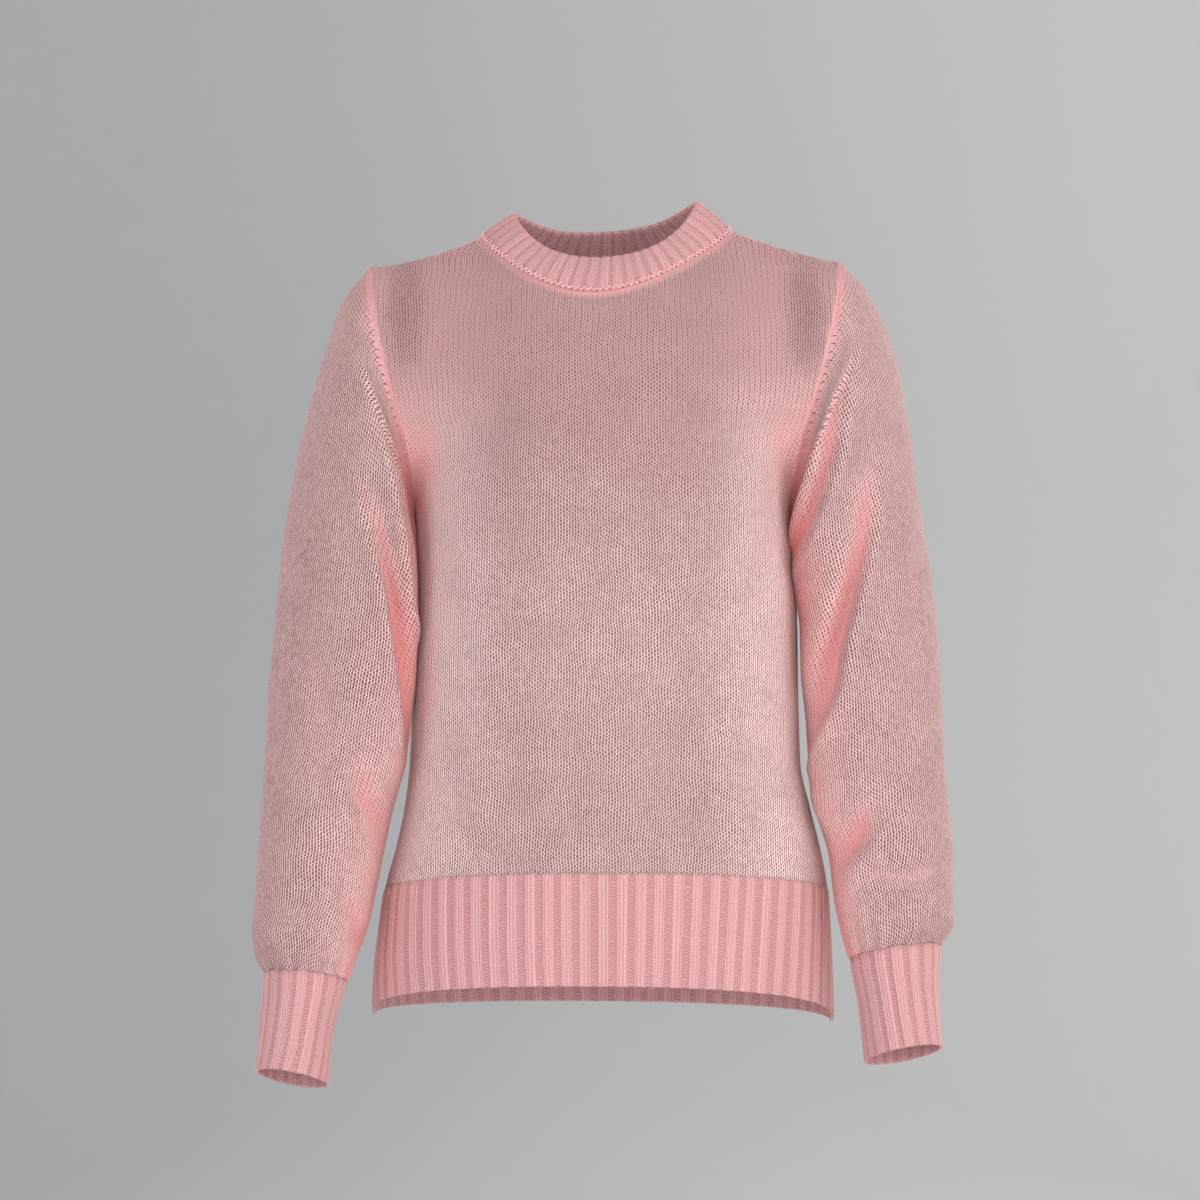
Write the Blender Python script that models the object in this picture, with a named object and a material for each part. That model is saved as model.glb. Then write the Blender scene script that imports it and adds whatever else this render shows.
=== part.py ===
"""Mohair sweater: a worn, hollow crew-neck pullover made of nine knitted pieces.

Frame: metres, +Z up.  The front of the garment faces -Y, so the wearer's right side
is at -X and the left side at +X.  The origin is the middle of the shoulder line, where
the wearer's shoulders carry the garment.

Two smooth sheets are worked out from the sizes below:
  * the torso, front and back, from the hem to the shoulder seams and the neck seam;
  * a sleeve on each side, from the armhole to the edge of the cuff.
Each knitted piece is a stretch of one of those sheets, thickened evenly into a wall.
Pieces that are sewn together share their edge points and the direction in which the
wall is thickened there, and each draws back half of the seam gap.
"""

import math

import bpy
import numpy as np

# ---------------------------------------------------------------- cloth and seams
BODY_WALL = 0.0020
RIB_WALL = 0.0030
COLLAR_WALL = 0.0050
COLLAR_CREST_WALL = 0.0008      # where the fold's two sides meet at its crest
SEAM_GAP = 0.0003

PINK_BODY = (0.60, 0.34, 0.35)
PINK_RIB = (0.70, 0.33, 0.36)
KNIT_ROUGHNESS = 0.9

# ---------------------------------------------------------------- driving heights
UNDERARM_Z = -0.200
RIB_TOP_SIDE_Z = -0.485
HEM_SIDE_Z = {"right": -0.580, "left": -0.586}

# How far the rib's top and the hem rise at the middle of a panel, above the side seams.
RIB_TOP_RISE = {"front": 0.019, "back": 0.000}
HEM_RISE = {"front": 0.0345, "back": 0.000}
HEM_RISE_POWER = 0.75

# ---------------------------------------------------------------- torso
FACES = ("front", "back")

TORSO_COLUMNS = ("z", "right", "left", "front", "back")
TORSO_LEVELS = (
    # height, half width right and left, depth front and back
    (-0.590, 0.1740, 0.1740, 0.1100, 0.1110),
    (-0.555, 0.1730, 0.1730, 0.1095, 0.1090),
    (-0.520, 0.1695, 0.1715, 0.1085, 0.1060),
    (-0.485, 0.1645, 0.1695, 0.1065, 0.1020),
    (-0.455, 0.1565, 0.1640, 0.1055, 0.0980),
    (-0.425, 0.1500, 0.1565, 0.1045, 0.0940),
    (-0.390, 0.1460, 0.1490, 0.1040, 0.0910),
    (-0.340, 0.1440, 0.1475, 0.1060, 0.0900),
    (-0.280, 0.1420, 0.1465, 0.1130, 0.0920),
    (-0.235, 0.1410, 0.1440, 0.1195, 0.0975),
    (-0.200, 0.1415, 0.1415, 0.1220, 0.1000),
    (-0.165, 0.1415, 0.1415, 0.1220, 0.1000),
)
SECTION_POWER = 2.4
UNDERARM_HALF_WIDTH = 0.1415
UNDERARM_DEPTH = {"front": 0.1220, "back": 0.1000}

# The shoulder slope falls from the neck point to the tip of the shoulder.
SHOULDER_TIP_X = {"right": 0.1775, "left": 0.1800}
SHOULDER_TIP_Z = {"right": -0.0144, "left": -0.0105}
NECK_POINT_X = {"right": 0.0905, "left": 0.0950}
NECK_POINT_Z = {"right": 0.0100, "left": 0.0145}
SHOULDER_SLOPE_POWER = {"right": 1.60, "left": 1.25}
NECK_RIDGE_RISE = 0.019

# Roundness of the panels above the underarm, as seen from the side: depth follows
# (1 - height**rise) ** fall from the underarm to the shoulder line.
YOKE_RISE_POWER = {"front": 2.0, "back": 3.0}
YOKE_FALL_POWER = {"front": 0.90, "back": 0.46}
YOKE_EDGE_SHARE = 0.40
YOKE_JOIN_POWER = 4.0           # how locally the armhole's bulge joins the body low down

ARMHOLE_DEPTH = {"front": 0.057, "back": 0.058}
ARMHOLE_STRAIGHT_SHARE = 0.3
ARMHOLE_BOW_REACH = 0.19        # share of the sleeve over which the armhole's bow dies out

# ---------------------------------------------------------------- collar
# Reach of the neck seam from the shoulder line, as a share of the panel's depth, and how
# much less it reaches on the left than on the right.
NECK_REACH = {"front": 0.54, "back": 0.66}
NECK_REACH_POWER = {"front": 1.4, "back": 1.0}
NECK_TWIST = 0.08

# Heights round the collar's top: mean, front to back, sides to middle, quarters, side to side.
COLLAR_TOP_WAVES = (0.0162, -0.0145, -0.0135, 0.0018, 0.0045)
COLLAR_TOP_CENTRE = (0.0020, 0.0010)
COLLAR_TOP_RADII = (0.0680, 0.0500)
COLLAR_BULGE = 0.0015

# ---------------------------------------------------------------- sleeves and cuffs
# Tilt lifts the front of a section, and lean carries its front towards the body.
SLEEVE_COLUMNS = ("along", "out_x", "out_z", "in_x", "in_z", "mid_y", "front", "back",
                  "tilt", "lean")
SLEEVE_SECTIONS = {
    "right": (
        # along, outer point x z, inner point x z, middle y, half depths, tilt, lean
        (0.00, 0.1775, -0.0144, 0.1415, -0.200, 0.000, 0.0570, 0.0580, 0.00, 0.00),
        (0.08, 0.1980, -0.0420, 0.1450, -0.213, -0.001, 0.0600, 0.0610, 0.00, 0.02),
        (0.19, 0.2135, -0.0980, 0.1460, -0.236, -0.003, 0.0610, 0.0610, 0.02, 0.20),
        (0.30, 0.2255, -0.1550, 0.1458, -0.262, -0.006, 0.0590, 0.0600, 0.03, 0.32),
        (0.41, 0.2350, -0.2150, 0.1458, -0.295, -0.010, 0.0570, 0.0580, 0.04, 0.36),
        (0.52, 0.2425, -0.2770, 0.1468, -0.330, -0.015, 0.0550, 0.0560, 0.06, 0.34),
        (0.64, 0.2510, -0.3480, 0.1490, -0.378, -0.022, 0.0540, 0.0540, 0.10, 0.22),
        (0.76, 0.2560, -0.4180, 0.1600, -0.430, -0.030, 0.0520, 0.0520, 0.14, 0.05),
        (0.87, 0.2595, -0.4800, 0.1705, -0.483, -0.041, 0.0480, 0.0490, 0.18, 0.00),
        (0.94, 0.2615, -0.5140, 0.1780, -0.517, -0.049, 0.0460, 0.0460, 0.20, 0.00),
        (0.98, 0.2580, -0.5330, 0.1865, -0.537, -0.053, 0.0400, 0.0400, 0.22, 0.00),
        (1.00, 0.2515, -0.5430, 0.1915, -0.549, -0.055, 0.0340, 0.0340, 0.22, 0.00),
        (1.50, 0.2535, -0.5790, 0.2020, -0.588, -0.064, 0.0315, 0.0315, 0.26, 0.00),
        (2.00, 0.2555, -0.6160, 0.2045, -0.625, -0.072, 0.0310, 0.0310, 0.30, 0.00),
    ),
    "left": (
        (0.00, 0.1800, -0.0105, 0.1415, -0.200, 0.000, 0.0570, 0.0580, 0.00, 0.00),
        (0.08, 0.2025, -0.0360, 0.1455, -0.213, -0.001, 0.0600, 0.0610, 0.00, 0.02),
        (0.19, 0.2190, -0.0840, 0.1480, -0.236, -0.003, 0.0610, 0.0610, 0.02, 0.14),
        (0.30, 0.2290, -0.1380, 0.1497, -0.262, -0.006, 0.0590, 0.0600, 0.03, 0.24),
        (0.41, 0.2380, -0.1950, 0.1515, -0.290, -0.009, 0.0570, 0.0580, 0.04, 0.20),
        (0.52, 0.2470, -0.2560, 0.1525, -0.322, -0.013, 0.0550, 0.0560, 0.06, 0.14),
        (0.64, 0.2540, -0.3220, 0.1540, -0.362, -0.019, 0.0540, 0.0540, 0.10, 0.10),
        (0.76, 0.2565, -0.3900, 0.1570, -0.410, -0.027, 0.0520, 0.0520, 0.14, 0.05),
        (0.87, 0.2615, -0.4560, 0.1700, -0.458, -0.038, 0.0490, 0.0490, 0.18, 0.00),
        (0.94, 0.2600, -0.4880, 0.1735, -0.490, -0.045, 0.0470, 0.0470, 0.20, 0.00),
        (0.98, 0.2605, -0.5080, 0.1785, -0.512, -0.050, 0.0430, 0.0430, 0.22, 0.00),
        (1.00, 0.2510, -0.5230, 0.1850, -0.533, -0.053, 0.0350, 0.0350, 0.22, 0.00),
        (1.50, 0.2480, -0.5600, 0.1915, -0.571, -0.063, 0.0315, 0.0315, 0.26, 0.00),
        (2.00, 0.2500, -0.5980, 0.1950, -0.608, -0.071, 0.0310, 0.0310, 0.30, 0.00),
    ),
}
SLEEVE_LENGTH = 0.52
SLEEVE_RADIUS = 0.050

# Folds are lower at their ends, and die out near the seams, over these shares of the piece.
FOLD_END_SHARE = 0.4
SLEEVE_FADE = {"armhole": 0.10, "cuff": 0.05}
TORSO_FADE = {"side": 0.12, "shoulder": 0.25, "rib": 0.15}

# Largest folds of the sleeves.  A fold runs from its start to its end, given as a share
# of the sleeve and an angle round it: 0 outside, 90 front, 180 towards the body, 270 back.
# Height is positive for a ridge and negative for a hollow.
FOLD_COLUMNS = ("start", "start_angle", "end", "end_angle", "width", "height")
SLEEVE_FOLDS = {
    "right": (
        (0.16, 140, 0.66, 168, 0.0130, -0.0060),
        (0.22, 100, 0.80, 150, 0.0110, 0.0035),
        (0.10, 62, 0.42, 72, 0.0120, 0.0025),
        (0.64, 112, 0.80, 106, 0.0120, -0.0045),
        (0.50, 250, 0.72, 205, 0.0130, -0.0045),
        (0.20, 235, 0.48, 262, 0.0120, 0.0030),
        (0.93, 150, 0.95, 215, 0.0080, 0.0030),
    ),
    "left": (
        (0.36, 82, 0.60, 136, 0.0130, -0.0070),
        (0.24, 104, 0.50, 148, 0.0110, 0.0040),
        (0.12, 128, 0.34, 84, 0.0120, 0.0030),
        (0.68, 176, 0.76, 160, 0.0130, 0.0045),
        (0.76, 142, 0.86, 136, 0.0120, -0.0050),
        (0.90, 30, 0.91, 130, 0.0085, -0.0035),
        (0.48, 210, 0.70, 248, 0.0130, -0.0045),
        (0.18, 262, 0.44, 236, 0.0120, 0.0030),
    ),
}

# Soft folds of the torso: share across the panel (-1 right side seam, 1 left side seam)
# and height, at both ends.
TORSO_FOLD_REACH = 0.16         # distance from the middle that a share of 1 stands for
TORSO_FOLD_COLUMNS = ("start", "start_z", "end", "end_z", "width", "height")
TORSO_FOLDS = {
    "front": (
        (-0.82, -0.130, -0.70, -0.270, 0.0120, -0.0030),
        (0.82, -0.120, 0.70, -0.260, 0.0120, -0.0030),
        (-0.60, -0.330, -0.56, -0.450, 0.0150, 0.0025),
        (0.56, -0.300, 0.60, -0.450, 0.0150, 0.0025),
    ),
    "back": (
        (-0.78, -0.120, -0.55, -0.270, 0.0130, -0.0030),
        (0.78, -0.130, 0.58, -0.280, 0.0130, -0.0030),
        (-0.35, -0.300, -0.30, -0.450, 0.0160, 0.0030),
        (0.30, -0.290, 0.36, -0.450, 0.0160, 0.0030),
    ),
}

# ---------------------------------------------------------------- mesh counts
COLUMNS = 24
NECK_COLUMNS = 7
LOWER_ROWS = 8
ARMHOLE_STEPS = 11
HEM_ROWS = 2
CUFF_ROWS = 3
SLEEVE_RINGS = 17
RING_CROWDING = 1.35
COLLAR_ROWS = 3
COLLAR_TOP_STEPS = 3

SHARP_EDGE = math.radians(50)
SAME_PLACE = 1e-6               # points closer than this belong to the same seam point

NECK_SHARE = NECK_COLUMNS / (COLUMNS / 2)


# ---------------------------------------------------------------- reading the tables
def even_slopes(keys, values):
    """Slopes that keep a curve between the values it passes through."""
    rise = np.diff(values) / np.diff(keys)
    before, after = rise[:-1], rise[1:]
    same_way = before * after > 0
    total = np.where(same_way, before + after, 1.0)
    inside = np.where(same_way, 2 * before * after / total, 0.0)
    return np.concatenate([rise[:1], inside, rise[-1:]])


def read(table, columns, name, at):
    """A smooth curve through one named column of a table, read at the given keys."""
    keys = np.array([row[0] for row in table])
    values = np.array([row[columns.index(name)] for row in table])
    slopes = even_slopes(keys, values)
    at = np.clip(at, keys[0], keys[-1])
    low = np.clip(np.searchsorted(keys, at, side="right") - 1, 0, len(keys) - 2)
    span = keys[low + 1] - keys[low]
    f = (at - keys[low]) / span
    return (values[low] * (2 * f**3 - 3 * f**2 + 1)
            + slopes[low] * span * (f**3 - 2 * f**2 + f)
            + values[low + 1] * (3 * f**2 - 2 * f**3)
            + slopes[low + 1] * span * (f**3 - f**2))


def by_side(side, pair):
    """The value of the side that each point lies on; side is -1 right, +1 left."""
    return np.where(side < 0, pair["right"], pair["left"])


def smoothstep(f):
    f = np.clip(f, 0.0, 1.0)
    return f * f * (3 - 2 * f)


def blend(a, b, share):
    return a + (b - a) * share


def fold_height(folds, columns, across, along):
    """Sum of the folds' heights at points given as distances across and along a piece."""
    total = np.zeros(np.broadcast(across, along).shape)
    for fold in folds:
        start = np.array(fold[0:2])
        end = np.array(fold[2:4])
        width = fold[columns.index("width")]
        run = end - start
        share = ((across - start[0]) * run[0] + (along - start[1]) * run[1]) / (run @ run)
        near = np.clip(share, 0.0, 1.0)
        gap_across = across - start[0] - near * run[0]
        gap_along = along - start[1] - near * run[1]
        taper = blend(FOLD_END_SHARE, 1.0, np.sin(math.pi * near))
        distance = np.sqrt(gap_across**2 + gap_along**2)
        total = total + fold[columns.index("height")] * taper * np.exp(-((distance / width)**2))
    return total


# ---------------------------------------------------------------- the torso sheet
def ridge_z(side, x):
    """Height of the shoulder line at the distance x from the middle, and across the neck."""
    tip_x, tip_z = by_side(side, SHOULDER_TIP_X), by_side(side, SHOULDER_TIP_Z)
    neck_x, neck_z = by_side(side, NECK_POINT_X), by_side(side, NECK_POINT_Z)
    share = np.clip((tip_x - x) / (tip_x - neck_x), 0.0, 1.0)
    slope = tip_z + (neck_z - tip_z) * share**by_side(side, SHOULDER_SLOPE_POWER)
    middle_z = (NECK_POINT_Z["right"] + NECK_POINT_Z["left"]) / 2
    inward = np.clip(x / neck_x, 0.0, 1.0)
    across = blend(middle_z, neck_z, inward) + NECK_RIDGE_RISE * (1 - inward**2)
    return np.where(x < neck_x, across, slope)


def neck_seam_rise(face, sine, cosine):
    """Share of the yoke's height at which the neck seam stands.

    The sine is towards the left side, the cosine towards the middle of the panel.
    """
    reach = NECK_REACH[face] * (1 - NECK_TWIST * sine) * cosine**NECK_REACH_POWER[face]
    return (1 - reach**(1 / YOKE_FALL_POWER[face]))**(1 / YOKE_RISE_POWER[face])


def armhole_x(side, t):
    """Distance of the armhole from the middle, at the share t of its height."""
    tip = by_side(side, SHOULDER_TIP_X)
    bow = ARMHOLE_STRAIGHT_SHARE * t + (1 - ARMHOLE_STRAIGHT_SHARE) * smoothstep(t)
    return blend(UNDERARM_HALF_WIDTH, tip, bow)


def torso_point(face, s, v):
    """Points of the torso sheet.

    s runs from -1 at the wearer's right edge to 1 at the left edge of the panel.
    v runs from -2 at the hem over -1 at the top of the rib and 0 at the underarm
    to 1 at the shoulder seam and the neck seam.
    """
    s, v = np.broadcast_arrays(np.asarray(s, float), np.asarray(v, float))
    forward = -1.0 if face == "front" else 1.0
    side = np.where(s < 0, -1.0, 1.0)
    t = np.clip(v, 0.0, 1.0)

    # Height of each row at its edge, and the half width there.
    below = blend(RIB_TOP_SIDE_Z, UNDERARM_Z, np.clip(v + 1, 0.0, 1.0))
    hem_z = blend(HEM_SIDE_Z["right"], HEM_SIDE_Z["left"], (s + 1) / 2)
    below = blend(below, hem_z, np.clip(-1 - v, 0.0, 1.0))
    half = np.where(side < 0, read(TORSO_LEVELS, TORSO_COLUMNS, "right", below),
                    read(TORSO_LEVELS, TORSO_COLUMNS, "left", below))
    half = np.where(v > 0, armhole_x(side, t), half)

    # Share of the half width: even round the body below, even along the seams above.
    turn = np.abs(s) * math.pi / 2
    round_share = np.sin(turn)**(2 / SECTION_POWER)
    neck_q = by_side(side, NECK_POINT_X) / by_side(side, SHOULDER_TIP_X)
    in_neck = np.abs(s) <= NECK_SHARE
    neck_turn = np.clip(np.abs(s) / NECK_SHARE, 0.0, 1.0) * math.pi / 2
    seam_share = neck_q + (1 - neck_q) * (np.abs(s) - NECK_SHARE) / (1 - NECK_SHARE)
    top_share = np.where(in_neck, neck_q * np.sin(neck_turn), seam_share)
    q = np.clip(blend(round_share, top_share, smoothstep(t)), 0.0, 1.0)
    x = half * q

    # Height: the rib's top and the hem rise towards the middle of the panel.
    middle = np.cos(turn)
    rib_rise = RIB_TOP_RISE[face] * middle * np.clip(-v, 0.0, 1.0)
    hem_rise = HEM_RISE[face] * middle**HEM_RISE_POWER
    rise = np.where(v < -1, blend(RIB_TOP_RISE[face] * middle, hem_rise, -1 - v), rib_rise)
    neck_cosine = np.maximum(np.cos(neck_turn), 0.0)
    rise_share = neck_seam_rise(face, side * np.sin(neck_turn), neck_cosine)
    ridge_top = ridge_z(side, by_side(side, SHOULDER_TIP_X) * top_share)
    top = UNDERARM_Z + rise_share * (ridge_top - UNDERARM_Z)
    z = np.where(v > 0, UNDERARM_Z + t * (top - UNDERARM_Z), below + rise)

    # Depth: a rounded section below, rounding over to the shoulder line above.
    depth = read(TORSO_LEVELS, TORSO_COLUMNS, face, z)
    lower_y = depth * (1 - q**SECTION_POWER)**(1 / SECTION_POWER)
    ty = np.clip((z - UNDERARM_Z) / (ridge_z(side, x) - UNDERARM_Z), 0.0, 1.0)
    middle_y = UNDERARM_DEPTH[face] * (1 - ty**YOKE_RISE_POWER[face])**YOKE_FALL_POWER[face]
    edge_y = ARMHOLE_DEPTH[face] * 2 * np.sqrt(ty * (1 - ty))
    open_out = smoothstep(ty / YOKE_EDGE_SHARE)
    middle_share = (1 - q**SECTION_POWER)**(1 / blend(SECTION_POWER, 1.0, open_out))
    join = blend(YOKE_JOIN_POWER, 1.0, open_out)
    upper_y = ((middle_y * middle_share)**join + (edge_y * q**SECTION_POWER)**join)**(1 / join)
    y = np.where(v > 0, upper_y, lower_y)

    # Folds lie square to the front and back, and fade at every seam.
    folds = [(f[0] * TORSO_FOLD_REACH, f[1], f[2] * TORSO_FOLD_REACH, f[3], f[4], f[5])
             for f in TORSO_FOLDS[face]]
    fade = smoothstep((1 - np.abs(s)) / TORSO_FADE["side"])
    fade = fade * smoothstep((1 - v) / TORSO_FADE["shoulder"])
    fade = fade * smoothstep((v + 1) / TORSO_FADE["rib"])
    y = y + fade * fold_height(folds, TORSO_FOLD_COLUMNS, side * x, z)
    return np.stack([side * x, forward * y, z], axis=-1)


# ---------------------------------------------------------------- the sleeve sheet
def sleeve_point(name, w, angle):
    """Points of a sleeve: w is 0 at the armhole, 1 at the cuff seam, 2 at the cuff edge.

    The angle is in radians: 0 outside, a quarter turn at the front, half a turn at the body.
    """
    w, angle = np.broadcast_arrays(np.asarray(w, float), np.asarray(angle, float))
    table = SLEEVE_SECTIONS[name]
    side = -1.0 if name == "right" else 1.0
    row = {c: read(table, SLEEVE_COLUMNS, c, w) for c in SLEEVE_COLUMNS[1:]}
    cosine, sine = np.cos(angle), np.sin(angle)
    t = (1 + cosine) / 2
    centre_x, centre_z = (row["out_x"] + row["in_x"]) / 2, (row["out_z"] + row["in_z"]) / 2
    x_reach = (row["out_x"] - row["in_x"]) / 2 * cosine
    z_reach = (row["out_z"] - row["in_z"]) / 2 * cosine
    y_reach = -np.where(sine > 0, row["front"], row["back"]) * sine

    # The armhole bows a little; the first sections of the sleeve lose that bow.
    straight_x = blend(UNDERARM_HALF_WIDTH, SHOULDER_TIP_X[name], t)
    bow = (armhole_x(side, t) - straight_x) * (1 - smoothstep(w / ARMHOLE_BOW_REACH))

    folds = [(f[0] * SLEEVE_LENGTH, math.radians(f[1]) * SLEEVE_RADIUS,
              f[2] * SLEEVE_LENGTH, math.radians(f[3]) * SLEEVE_RADIUS, f[4], f[5])
             for f in SLEEVE_FOLDS[name]]
    height = fold_height(folds, FOLD_COLUMNS, w * SLEEVE_LENGTH, angle * SLEEVE_RADIUS)
    height = height * smoothstep(w / SLEEVE_FADE["armhole"])
    height = height * smoothstep((1 - w) / SLEEVE_FADE["cuff"])
    reach = np.sqrt(x_reach**2 + y_reach**2 + z_reach**2)
    swell = 1 + height / reach

    x = centre_x + x_reach * swell + bow + row["lean"] * y_reach * swell
    y = row["mid_y"] + y_reach * swell
    z = centre_z + z_reach * swell - row["tilt"] * y_reach * swell
    return np.stack([side * x, y, z], axis=-1)


# ---------------------------------------------------------------- grids of the pieces
def armhole_shares():
    """Shares of the armhole's height that its points stand at, from the underarm up."""
    angles = np.linspace(-math.pi / 2, math.pi / 2, ARMHOLE_STEPS + 1)
    return (1 + np.sin(angles)) / 2


def column_shares():
    return np.linspace(-1.0, 1.0, COLUMNS + 1)


def panel_grid(face):
    rows = np.concatenate([np.linspace(-1.0, 0.0, LOWER_ROWS + 1), armhole_shares()[1:]])
    return torso_point(face, column_shares()[None, :], rows[:, None])


def hem_grid(face):
    rows = np.linspace(-2.0, -1.0, HEM_ROWS + 1)
    return torso_point(face, column_shares()[None, :], rows[:, None])


def ring_angles():
    return np.linspace(0.0, 2 * math.pi, 2 * ARMHOLE_STEPS + 1)[:-1]


def sleeve_grid(name):
    """Rings closer together towards the cuff, where the sleeve blouses."""
    rows = 1 - np.linspace(1.0, 0.0, SLEEVE_RINGS + 1)**RING_CROWDING
    return sleeve_point(name, rows[:, None], ring_angles()[None, :])


def cuff_grid(name):
    rows = np.linspace(1.0, 2.0, CUFF_ROWS + 1)
    return sleeve_point(name, rows[:, None], ring_angles()[None, :])


def neck_seam():
    """Points of the neck seam, from the right neck point over the front and back again.

    The sines and cosines of their turn round the neck come with them, the cosine
    towards the front.
    """
    shares = np.linspace(-NECK_SHARE, NECK_SHARE, 2 * NECK_COLUMNS + 1)
    front = torso_point("front", shares, 1.0)
    back = torso_point("back", shares[::-1], 1.0)
    turn = shares / NECK_SHARE * math.pi / 2
    sines = np.concatenate([np.sin(turn)[:-1], np.sin(turn[::-1])[:-1]])
    cosines = np.concatenate([np.cos(turn)[:-1], -np.cos(turn[::-1])[:-1]])
    return np.concatenate([front[:-1], back[:-1]]), sines, cosines


def collar_grid():
    """Middle surface of the folded collar, from the neck seam to its rounded top."""
    seam, sine, cosine = neck_seam()
    centre_x, centre_y = COLLAR_TOP_CENTRE
    mean, front_back, side_middle, quarters, tilt = COLLAR_TOP_WAVES
    double = 2 * cosine**2 - 1
    height = (mean + front_back * cosine + side_middle * double
              + quarters * (2 * double**2 - 1) + tilt * sine)
    top = np.stack([centre_x + COLLAR_TOP_RADII[0] * sine,
                    centre_y - COLLAR_TOP_RADII[1] * cosine, height], axis=-1)
    shares = collar_shares(np.linalg.norm(top - seam, axis=-1).mean())
    bulge = COLLAR_BULGE * np.sin(math.pi * shares)[:, None, None]
    outward = np.stack([sine, -cosine, 0 * sine], axis=-1)
    return blend(seam[None], top[None], shares[:, None, None]) + bulge * outward[None]


def collar_shares(height):
    """Rows of the collar: even up to the fold, then in steps round the fold."""
    fold_start = 1 - COLLAR_WALL / 2 / height
    turns = np.linspace(0.0, math.pi / 2, COLLAR_TOP_STEPS + 1)[1:]
    return np.concatenate([np.linspace(0.0, fold_start, COLLAR_ROWS + 1),
                           fold_start + (1 - fold_start) * np.sin(turns)])


def collar_half_walls():
    """Half the collar's thickness at each row: thin at the seam, closing round the fold."""
    turns = np.linspace(0.0, math.pi / 2, COLLAR_TOP_STEPS + 1)[1:]
    top = COLLAR_WALL / 2 * np.cos(turns)
    top[-1] = COLLAR_CREST_WALL / 2
    band = np.full(COLLAR_ROWS + 1, COLLAR_WALL / 2)
    band[0] = BODY_WALL / 2
    return np.concatenate([band, top])


# ---------------------------------------------------------------- walls from grids
def grid_normals(grid, closed, flip):
    """Outward direction at each point of a grid, from the cells round it."""
    if closed:
        wide = np.concatenate([grid[:, -1:], grid, grid[:, :1]], axis=1)
    else:
        wide = grid
    along = np.gradient(wide, axis=0)
    across = np.gradient(wide, axis=1)
    normals = np.cross(across, along)
    if closed:
        normals = normals[:, 1:-1]
    if flip:
        normals = -normals
    return normals / np.maximum(np.linalg.norm(normals, axis=-1, keepdims=True), 1e-12)


def place_key(point):
    return tuple(int(round(c / SAME_PLACE)) for c in point)


def share_directions(pieces):
    """Give points that pieces have in common one direction for their walls."""
    sums = {}
    for piece in pieces:
        for point, normal in zip(piece["grid"].reshape(-1, 3), piece["normals"].reshape(-1, 3)):
            key = place_key(point)
            sums[key] = sums.get(key, np.zeros(3)) + normal
    for piece in pieces:
        flat = piece["normals"].reshape(-1, 3)
        for index, point in enumerate(piece["grid"].reshape(-1, 3)):
            total = sums[place_key(point)]
            flat[index] = total / np.linalg.norm(total)


def armhole_directions(side_name):
    """At the armhole the wall is thickened in the armhole's own plane, away from its middle."""
    tip, low = SHOULDER_TIP_Z[side_name], UNDERARM_Z
    middle, half = (tip + low) / 2, (tip - low) / 2

    def direction(point):
        depth = ARMHOLE_DEPTH["front" if point[1] < 0 else "back"]
        out = np.array([0.0, point[1] / depth**2, (point[2] - middle) / half**2])
        return out / np.linalg.norm(out)

    return direction


def set_armhole_directions(piece, index, side_name):
    direction = armhole_directions(side_name)
    for place in index:
        piece["normals"][place] = direction(piece["grid"][place])


def draw_back(grid, edge, inner):
    """Move the points of an edge half a seam gap towards their neighbours inside."""
    step = grid[inner] - grid[edge]
    return SEAM_GAP / 2 * step / np.linalg.norm(step, axis=-1, keepdims=True)


def neck_seam_gap(places, normals):
    """Half a seam gap, square to the neck seam and to the wall's direction, away from the neck."""
    seam = neck_seam()[0]
    run = np.roll(seam, -1, axis=0) - np.roll(seam, 1, axis=0)
    apart = np.cross(run[places], normals)
    apart = apart / np.linalg.norm(apart, axis=-1, keepdims=True)
    outward = seam[places] * (1.0, 1.0, 0.0)
    return SEAM_GAP / 2 * apart * np.sign((apart * outward).sum(axis=-1, keepdims=True))


def panel_shift(item):
    """A panel draws back from the side seams, armholes, shoulder seams, neck and rib."""
    grid, face = item["grid"], item["face"]
    shift = np.zeros_like(grid)
    gap = SEAM_GAP / 2
    forward = -1.0 if face == "front" else 1.0
    first, last = COLUMNS // 2 - NECK_COLUMNS, COLUMNS // 2 + NECK_COLUMNS
    neck = slice(first, last + 1)
    for column, side in ((0, -1.0), (-1, 1.0)):
        shift[:LOWER_ROWS + 1, column, 1] += forward * gap
        shift[LOWER_ROWS:, column, 0] -= side * gap
    shift[-1, :first + 1, 1] += forward * gap
    shift[-1, last:, 1] += forward * gap
    places = np.arange(2 * NECK_COLUMNS + 1)
    places = places if face == "front" else -places
    shift[-1, neck] += neck_seam_gap(places, item["normals"][-1, neck])
    shift[0] += draw_back(grid, 0, 1)
    return shift


def hem_shift(item):
    grid = item["grid"]
    shift = np.zeros_like(grid)
    forward = -1.0 if item["face"] == "front" else 1.0
    shift[:, (0, -1), 1] += forward * SEAM_GAP / 2
    shift[-1] += draw_back(grid, -1, -2)
    return shift


def sleeve_shift(item):
    shift = np.zeros_like(item["grid"])
    shift[0, :, 0] = item["side"] * SEAM_GAP / 2
    shift[-1] = draw_back(item["grid"], -1, -2)
    return shift


def cuff_shift(item):
    shift = np.zeros_like(item["grid"])
    shift[0] = draw_back(item["grid"], 0, 1)
    return shift


def collar_shift(item):
    shift = np.zeros_like(item["grid"])
    shift[0] = -neck_seam_gap(np.arange(4 * NECK_COLUMNS), item["normals"][0])
    return shift


SHIFTS = {"panel": panel_shift, "hem": hem_shift, "sleeve": sleeve_shift,
          "cuff": cuff_shift, "collar": collar_shift}


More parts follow.
